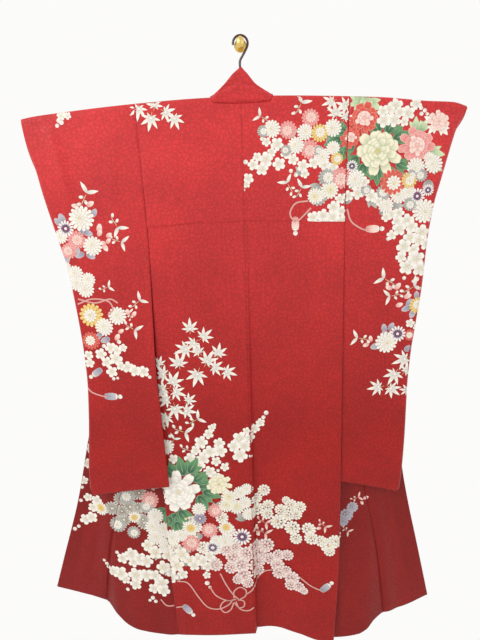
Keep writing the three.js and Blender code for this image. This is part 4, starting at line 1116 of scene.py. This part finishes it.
SHOULDER_CORDS = [
    ("cord", "blush", [(308, 201), (296, 203), (290.5, 211), (290.8, 217), (295, 222)]),
    ("cord", "blush", [(311, 208), (304, 215), (298, 221)]),
    ("cord", "blush", [(347, 209), (351, 221), (361, 228.4), (368, 230)]),
    ("tassel", "blush", [(295.5, 226, 9, 270), (375, 229, 9, 0)]),
]

# three more at the tuck, in millimetres: x, z and radius
UNDER_TUCK = ("blossom", "white", [(240, -490, 20), (216, -492, 16), (279, -484, 20)])

# %% [markdown]
# ## Leaves and blossoms underneath
# Between the flowers, greyer ones show. Only their middles are given, in pixels. Their radii, in
# millimetres, and the ways that the leaves point are drawn by chance, with seeds.

# %% Underneath
HEM_LEAVES = [(150, 494), (148, 512), (160, 524), (188, 548), (176, 532), (214, 545), (232, 541),
    (204, 562), (240, 560), (128, 512), (114, 508), (103, 520), (200, 536), (222, 528),
    (168, 548), (156, 560), (186, 562), (216, 508), (236, 505), (242, 518), (262, 545),
    (180, 574), (150, 578), (120, 528)]
SHOULDER_LEAVES = [(290, 132), (306, 150), (322, 160), (300, 172), (334, 172), (352, 186),
    (372, 200), (394, 190), (410, 198), (404, 178), (428, 184), (346, 200), (382, 212),
    (316, 188), (330, 140), (420, 168), (396, 206)]
HEM_DAISIES = [(136, 501), (117, 507), (127, 515), (121, 528), (146, 515), (133, 522),
    (142, 530), (182, 553), (165, 574), (110, 517)]
HEM_ROUNDS = [(175, 548), (190, 538), (217, 548), (210, 530), (196, 527), (203, 547), (228, 530),
    (215, 562), (160, 540), (168, 556), (222, 518), (187, 520)]
HEM_OFF, SHOULDER_OFF = 85, 42
LEAF_RADII, BLOSSOM_RADII = (17, 24), (23, 28)


def scattered(places, off, radii, chance, turned):
    """Flowers in millimetres, at places of the picture seen off millimetres from the wall."""
    made = []
    for px, py in places:
        size = chance.randint(*radii)
        way = [chance.randrange(0, 360, 10)] if turned else []
        made.append((*seen_at(px, py, off), size, *way))
    return made


leaf_chance = random.Random(3)
hem_leaves = scattered(HEM_LEAVES, HEM_OFF, LEAF_RADII, leaf_chance, True)
shoulder_leaves = scattered(SHOULDER_LEAVES, SHOULDER_OFF, LEAF_RADII, leaf_chance, True)
blossom_chance = random.Random(5)
hem_daisies = scattered(HEM_DAISIES, HEM_OFF, BLOSSOM_RADII, blossom_chance, False)
hem_rounds = scattered(HEM_ROUNDS, HEM_OFF, BLOSSOM_RADII, blossom_chance, False)

# %% [markdown]
# ## From the picture to the cloth
# A line of sight is followed to the first sheet that it meets, and there a pixel is as large as
# its distance makes it. Just beside the cloth's edge, the depth of the nearest cloth is taken.
# Leaves and sprigs are drawn a quarter larger than their radius says, because they are so thin.

# %% From the picture to the cloth
NEAREST_TRIES = 24
SPREAD = {"leaf": 1.25, "sprig": 1.25}


def distance_to(panels, px, py):
    way = sight(px, py).normalized()
    hits = [cloth_trees[panel].ray_cast(Vector(CAMERA_PLACE) * MM, way) for panel in panels]
    return min((hit[3] for hit in hits if hit[0] is not None), default=None)


def seen_on(panels, px, py):
    """Where a place in the picture is on the cloth: x, z and a pixel's size, in millimetres."""
    beside = [(px, py)]
    for k in range(1, NEAREST_TRIES + 1):
        beside += [(px - k, py), (px, py - k), (px + k, py), (px, py + k)]
    found = (distance_to(panels, *place) for place in beside)
    distance = next(d for d in found if d is not None) / MM
    way = sight(px, py)
    spot = Vector(CAMERA_PLACE) + way.normalized() * distance
    return spot.x, spot.z, distance / way.length


def in_mm(rows, panels):
    """The same rows with places and radii in millimetres, rounded to whole ones."""
    made = []
    for kind, tint, items in rows:
        new = []
        for px, py, *rest in items:
            x, z, pixel = seen_on(panels, px, py)
            new.append([round(x), round(z)])
            if rest:
                new[-1] += [round(rest[0] * pixel * SPREAD.get(kind, 1)), *rest[1:]]
        made.append((kind, tint, new))
    return made


SHOULDER_CLOTH = ["sleeve_cloth_right", "back_right"]
MAPLE_CLOTH = ["sleeve_cloth_left", "back_left"]
HEM_CLOTH = ["back_left", "back_right", "front_left", "okumi_cloth_left", "front_right",
             "okumi_cloth_right"]
shoulder_rows = [("leaf", "haze", shoulder_leaves)] + in_mm(SHOULDER, SHOULDER_CLOTH)
shoulder_cords = in_mm(SHOULDER_CORDS, SHOULDER_CLOTH)
tucked_rows = in_mm(TUCKED, SHOULDER_CLOTH) + [UNDER_TUCK]
maple_rows = in_mm(MAPLES, MAPLE_CLOTH)
sleeve_rows = in_mm(SLEEVE_FLOWERS, ["sleeve_cloth_left"])
hem_rows = [("leaf", "haze", hem_leaves), ("daisy", "grey", hem_daisies),
            ("round", "ivory", hem_rounds)] + in_mm(HEM_FLOWERS, HEM_CLOTH)
for title, rows in (("shoulder", shoulder_rows), ("sleeve", sleeve_rows), ("hem", hem_rows)):
    print(title, "flowers:", sum(len(row[2]) for row in rows if row[0] != "cord"))

# %% [markdown]
# ## Laying the pattern on the cloth
# A flower that overlaps earlier ones lies one step higher, so the paint never fights with itself.
# Long patches are cut into points no more than a few millimetres apart, because the cloth bends
# under them. Every point is moved along its ray to the panel that it meets first, then out from
# the cloth by less than a millimetre. Patches that would bridge two panels are left off.

# %% Laying
DYE_LIFT, FLOWER_STEP, PETAL_STEP = 0.85, 0.08, 0.012
CORD_WIDTH = 4.6


def patch_points(outline, heart, along, colours, x, z, size, turn):
    """A petal as points, triangles and colours, in millimetres on the upright plane."""
    c, s = math.cos(math.radians(turn)), math.sin(math.radians(turn))
    spin = np.array([[c, s], [-s, c]])
    n = len(outline)
    base, tip, edge = colours
    points, tints = [heart[None]], [mix(base, tip, 0.6)[None]]
    for share in PETAL_RINGS:
        points.append(heart + share * (outline - heart))
        near_tip = np.clip(1.6 * (0.5 + share * (along - 0.5)) - 0.1, 0, 1)[:, None]
        tints.append(mix(base, tip, near_tip) if share < 1 else np.repeat(edge[None], n, 0))
    points = np.concatenate(points) @ spin * size + (x, z)
    i = np.arange(n)
    j = (i + 1) % n
    faces = [np.stack([0 * i, 1 + i, 1 + j], -1)]
    for level in range(len(PETAL_RINGS) - 1):
        a, b = 1 + level * n, 1 + (level + 1) * n
        faces += [np.stack([a + i, b + i, b + j], -1), np.stack([a + i, b + j, a + j], -1)]
    return points, np.concatenate(faces), np.concatenate(tints)


def cord_points(line, tints):
    """A cord: a smooth band along its points, paler along its two edges."""
    path = smoothed(np.array(line, float), 7)
    along = np.gradient(path, axis=0)
    side_way = np.stack([-along[:, 1], along[:, 0]], -1)
    side_way /= np.linalg.norm(side_way, axis=1)[:, None]
    rails = [path + side_way * CORD_WIDTH / 2 * k for k in (-1, 0, 1)]
    points = np.stack(rails, 1).reshape(-1, 2)
    base = 3 * np.arange(len(path) - 1)[:, None]
    quads = np.concatenate([base + [0, 1, 4, 3], base + [1, 2, 5, 4]])
    faces = np.concatenate([quads[:, [0, 1, 2]], quads[:, [0, 2, 3]]])
    return points, faces, np.tile(np.stack([tints[2], tints[0], tints[2]]), (len(path), 1))


def drawn(rows, chance):
    """All patches of a pattern: points, triangles, colours and how high each point lies."""
    points, faces, tints, heights, placed, count = [], [], [], [], [], 0
    for kind, tint, items in rows:
        if kind == "cord":
            parts = [(*cord_points(items, dyes(tint)[0]), 1.0)]
        else:
            parts = []
            for x, z, size, *turn in items:
                turn = turn[0] if turn else chance.uniform(0, 360)
                under = [h for px, pz, r, h in placed if math.hypot(px - x, pz - z) < r + size]
                height = 1 + max(under, default=0)
                placed.append((x, z, size, height))
                for n, patch in enumerate(FLOWERS[kind](tint)):
                    lift = height * FLOWER_STEP + n * PETAL_STEP
                    parts.append((*patch_points(*patch, x, z, size, turn), lift))
        for p, f, t, lift in parts:
            points.append(p)
            faces.append(f + count)
            tints.append(t)
            heights.append(np.full(len(p), lift))
            count += len(p)
    return (np.concatenate(a) for a in (points, faces, tints, heights))


def lay_pattern(name, rows, panels, material, way=1, seed=1, lowest=None):
    """Lays a pattern on the panels that a ray from the room (way 1) or the wall (-1) meets.
    Where a fold hides the rest of it, lowest gives the height of the fold's line at any x."""
    points, faces, tints, heights = drawn(rows, random.Random(seed))
    if lowest:
        points[:, 1] = np.maximum(points[:, 1], lowest(points[:, 0]))
    start = -0.6 if way > 0 else 0.1
    hits = np.full((len(panels), len(points), 4), np.nan)
    for k, panel in enumerate(panels):
        tree = cloth_trees[panel]
        for i, (x, z) in enumerate(points * MM):
            spot, normal, _, distance = tree.ray_cast((x, start, z), (0, way, 0), 0.7)
            if spot is not None:
                out = normal * (-way if normal.y * way > 0 else way) * way
                lifted = spot + out * (DYE_LIFT + heights[i]) * MM
                hits[k, i] = (*lifted, distance)
    distance = np.where(np.isnan(hits[..., 3]), 9, hits[..., 3])
    first = distance.argmin(0)
    for k, panel in enumerate(panels):
        mine = (first[faces] == k).sum(1) >= 2
        mine &= ~np.isnan(hits[k][faces][..., 0]).any(1)
        if not mine.any():
            continue
        corners = hits[k][faces[mine]][..., :3]
        flat = np.linalg.norm(corners - corners.mean(1, keepdims=True), axis=2).max(1) < 0.012
        used = faces[mine][flat]
        kept, numbers = np.unique(used, return_inverse=True)
        mesh = bpy.data.meshes.new(f"{name}_on_{panel}")
        mesh.from_pydata(hits[k][kept][:, :3].tolist(), [], numbers.reshape(-1, 3).tolist())
        dye = mesh.color_attributes.new("dye", "FLOAT_COLOR", "POINT")
        dye.data.foreach_set("color", tints[kept].astype(np.float32).ravel())
        mesh.polygons.foreach_set("use_smooth", np.ones(len(used), bool))
        mesh.materials.append(material)
        piece = bpy.data.objects.new(mesh.name, mesh)
        bpy.context.collection.objects.link(piece)
        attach(piece, "root")
        pattern_on.setdefault(panel, []).append(piece)
        print(piece.name, len(used), "triangles")


pattern_on = {}


def dyed_silk():
    m = new_material("yuzen_dyed_silk")
    dye = add_node(m, "ShaderNodeAttribute", {"attribute_name": "dye"})
    spot = add_node(m, "ShaderNodeTexCoord")
    grain = add_node(m, "ShaderNodeTexNoise", Vector=(spot, "Object"), Scale=1000 / GRAIN_MM,
                     Detail=2.0)
    brushed = add_node(m, "ShaderNodeTexNoise", Vector=(spot, "Object"), Scale=90.0, Detail=2.0)
    shade = add_node(m, "ShaderNodeMapRange", Value=(brushed, "Fac"), i1=0.3, i2=0.7, i3=0.93,
                     i4=1.03)
    tint = add_node(m, "ShaderNodeVectorMath", {"operation": "SCALE"}, i0=(dye, "Color"),
                    Scale=(shade, "Result"))
    bump = add_node(m, "ShaderNodeBump", Strength=0.1, Distance=0.0005, Height=(grain, "Fac"))
    surface = add_node(m, "ShaderNodeBsdfPrincipled", Base_Color=(tint, "Vector"), Roughness=0.5,
                       IOR=1.5, Sheen_Weight=0.2, Sheen_Roughness=0.4, Normal=(bump, "Normal"))
    add_node(m, "ShaderNodeOutputMaterial", Surface=(surface, "BSDF"))
    return m


def tuck_line(x):
    return SHOULDER_Z - drop_at("right", x, x, TUCK_V) + 2


DYED = dyed_silk()
lay_pattern("shoulder_flowers", shoulder_rows + shoulder_cords, SHOULDER_CLOTH, DYED, seed=2)
lay_pattern("tucked_blossoms", tucked_rows, ["back_right"], DYED, seed=6, lowest=tuck_line)
lay_pattern("shoulder_maples", maple_rows, MAPLE_CLOTH, DYED, seed=3)
lay_pattern("sleeve_flowers", sleeve_rows, ["sleeve_cloth_left"], DYED, seed=4)
lay_pattern("hem_flowers", hem_rows, HEM_CLOTH, DYED, seed=5)

# The sleeves are dyed all round, so flowers go on their sides towards the wall too.
lay_pattern("wall_side_flowers", sleeve_rows, ["sleeve_cloth_left"], DYED, way=-1, seed=7)
lay_pattern("wall_side_shoulder", [row for row in shoulder_rows if row[0] != "cord"],
            ["sleeve_cloth_right"], DYED, way=-1, seed=8)

# %% [markdown]
# ## Hanger and hook
# The bar is wood under dark urushi lacquer, brushed on thin: deep gloss, with the grain faintly
# felt in it. Its hook is steel wire dipped in dark enamel, glossy and a little uneven. The wall
# hook is polished brass, clear yellow, with finger marks that dull it here and there. These nodes
# keep their solid shapes and only get their finishes.

# %% Lacquer, enamel and brass
def hard_finish(name, hex_code, mark_mm, rough, **settings):
    """A hard surface: its colour and gloss vary in marks of a given size."""
    m = new_material(name)
    spot = add_node(m, "ShaderNodeTexCoord")
    marks = add_node(m, "ShaderNodeTexNoise", Vector=(spot, "Object"), Scale=1000 / mark_mm,
                     Detail=4.0)
    tint = add_node(m, "ShaderNodeMix", {"data_type": "RGBA"}, i0=(marks, "Fac"),
                    i6=[c * 0.8 for c in colour(hex_code)], i7=[c * 1.15 for c in colour(hex_code)])
    gloss = add_node(m, "ShaderNodeMapRange", Value=(marks, "Fac"), i1=0.3, i2=0.7,
                     i3=rough * 0.7, i4=rough * 1.4)
    bump = add_node(m, "ShaderNodeBump", Strength=0.06, Distance=0.0004, Height=(marks, "Fac"))
    surface = add_node(m, "ShaderNodeBsdfPrincipled", Base_Color=(tint, 2), Normal=(bump, "Normal"),
                       Roughness=(gloss, "Result"), **settings)
    add_node(m, "ShaderNodeOutputMaterial", Surface=(surface, "BSDF"))
    return m


FINISHES = {
    "hanger_bar": hard_finish("urushi_lacquered_wood", "2a1512", 8.0, 0.22, IOR=1.5,
                              Coat_Weight=0.8, Coat_Roughness=0.1),
    "hanger_wire": hard_finish("enamel_dipped_steel", "43262a", 5.0, 0.3, IOR=1.5),
    "wall_hook": hard_finish("polished_brass", "e6c878", 6.0, 0.24, Metallic=1.0),
}
for node_name, finish in FINISHES.items():
    for material_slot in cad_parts[node_name].material_slots:
        material_slot.material = finish
    print(node_name, "gets", finish.name)

# %% [markdown]
# ## How the cloth was cut
# The widths are those between the seams; the collar is a strip folded double, so half of its cut
# shows; the okumi tapers.


print("sheets declared:", 5 * len(SIDES) + 1)

# %% [markdown]
# ## Floor and light
# A pale plain floor, and daylight from large soft sources: one from the upper left, in front, and
# a weaker one from the right.

# %% Floor and light
floor_mesh = bpy.data.meshes.new("floor")
FLOOR_SIDE, FLOOR_DEPTH, FLOOR_Z = 4, 6, -2.05
corners = [(-FLOOR_SIDE, -FLOOR_DEPTH, FLOOR_Z), (FLOOR_SIDE, -FLOOR_DEPTH, FLOOR_Z),
           (FLOOR_SIDE, 0, FLOOR_Z), (-FLOOR_SIDE, 0, FLOOR_Z)]
floor_mesh.from_pydata(corners, [], [(0, 1, 2, 3)])
floor = bpy.data.objects.new("floor", floor_mesh)
bpy.context.collection.objects.link(floor)
paint = new_material("pale_floor_paint")
speckle = add_node(paint, "ShaderNodeTexNoise", Scale=4.0, Detail=4.0)
floor_tone = add_node(paint, "ShaderNodeMapRange", Value=(speckle, "Fac"), i3=0.78, i4=0.84)
floor_surface = add_node(paint, "ShaderNodeBsdfPrincipled", Base_Color=(floor_tone, "Result"),
                         Roughness=0.7)
add_node(paint, "ShaderNodeOutputMaterial", Surface=(floor_surface, "BSDF"))
floor_mesh.materials.append(paint)

world = bpy.data.worlds.new("pale_room")
world.use_nodes = True
world.node_tree.nodes["Background"].inputs["Color"].default_value = (1.0, 0.995, 0.98, 1)
world.node_tree.nodes["Background"].inputs["Strength"].default_value = 0.97
bpy.context.scene.world = world
bpy.context.scene.view_settings.view_transform = "Standard"


def soft_light(name, place_m, aim_m, size, watts):
    data = bpy.data.lights.new(name, "AREA")
    data.shape, data.size, data.energy = "SQUARE", size, watts
    light = bpy.data.objects.new(name, data)
    light.location = place_m
    light.rotation_euler = (Vector(aim_m) - Vector(place_m)).to_track_quat("-Z", "Y").to_euler()
    bpy.context.collection.objects.link(light)


soft_light("window_left", (-2.2, -2.2, 1.2), (-0.2, 0, -0.4), 1.6, 45)
soft_light("fill_right", (2.6, -2.4, 0.2), (0, 0, -1.0), 2.2, 8)
print("lights: 2 areas and the room")
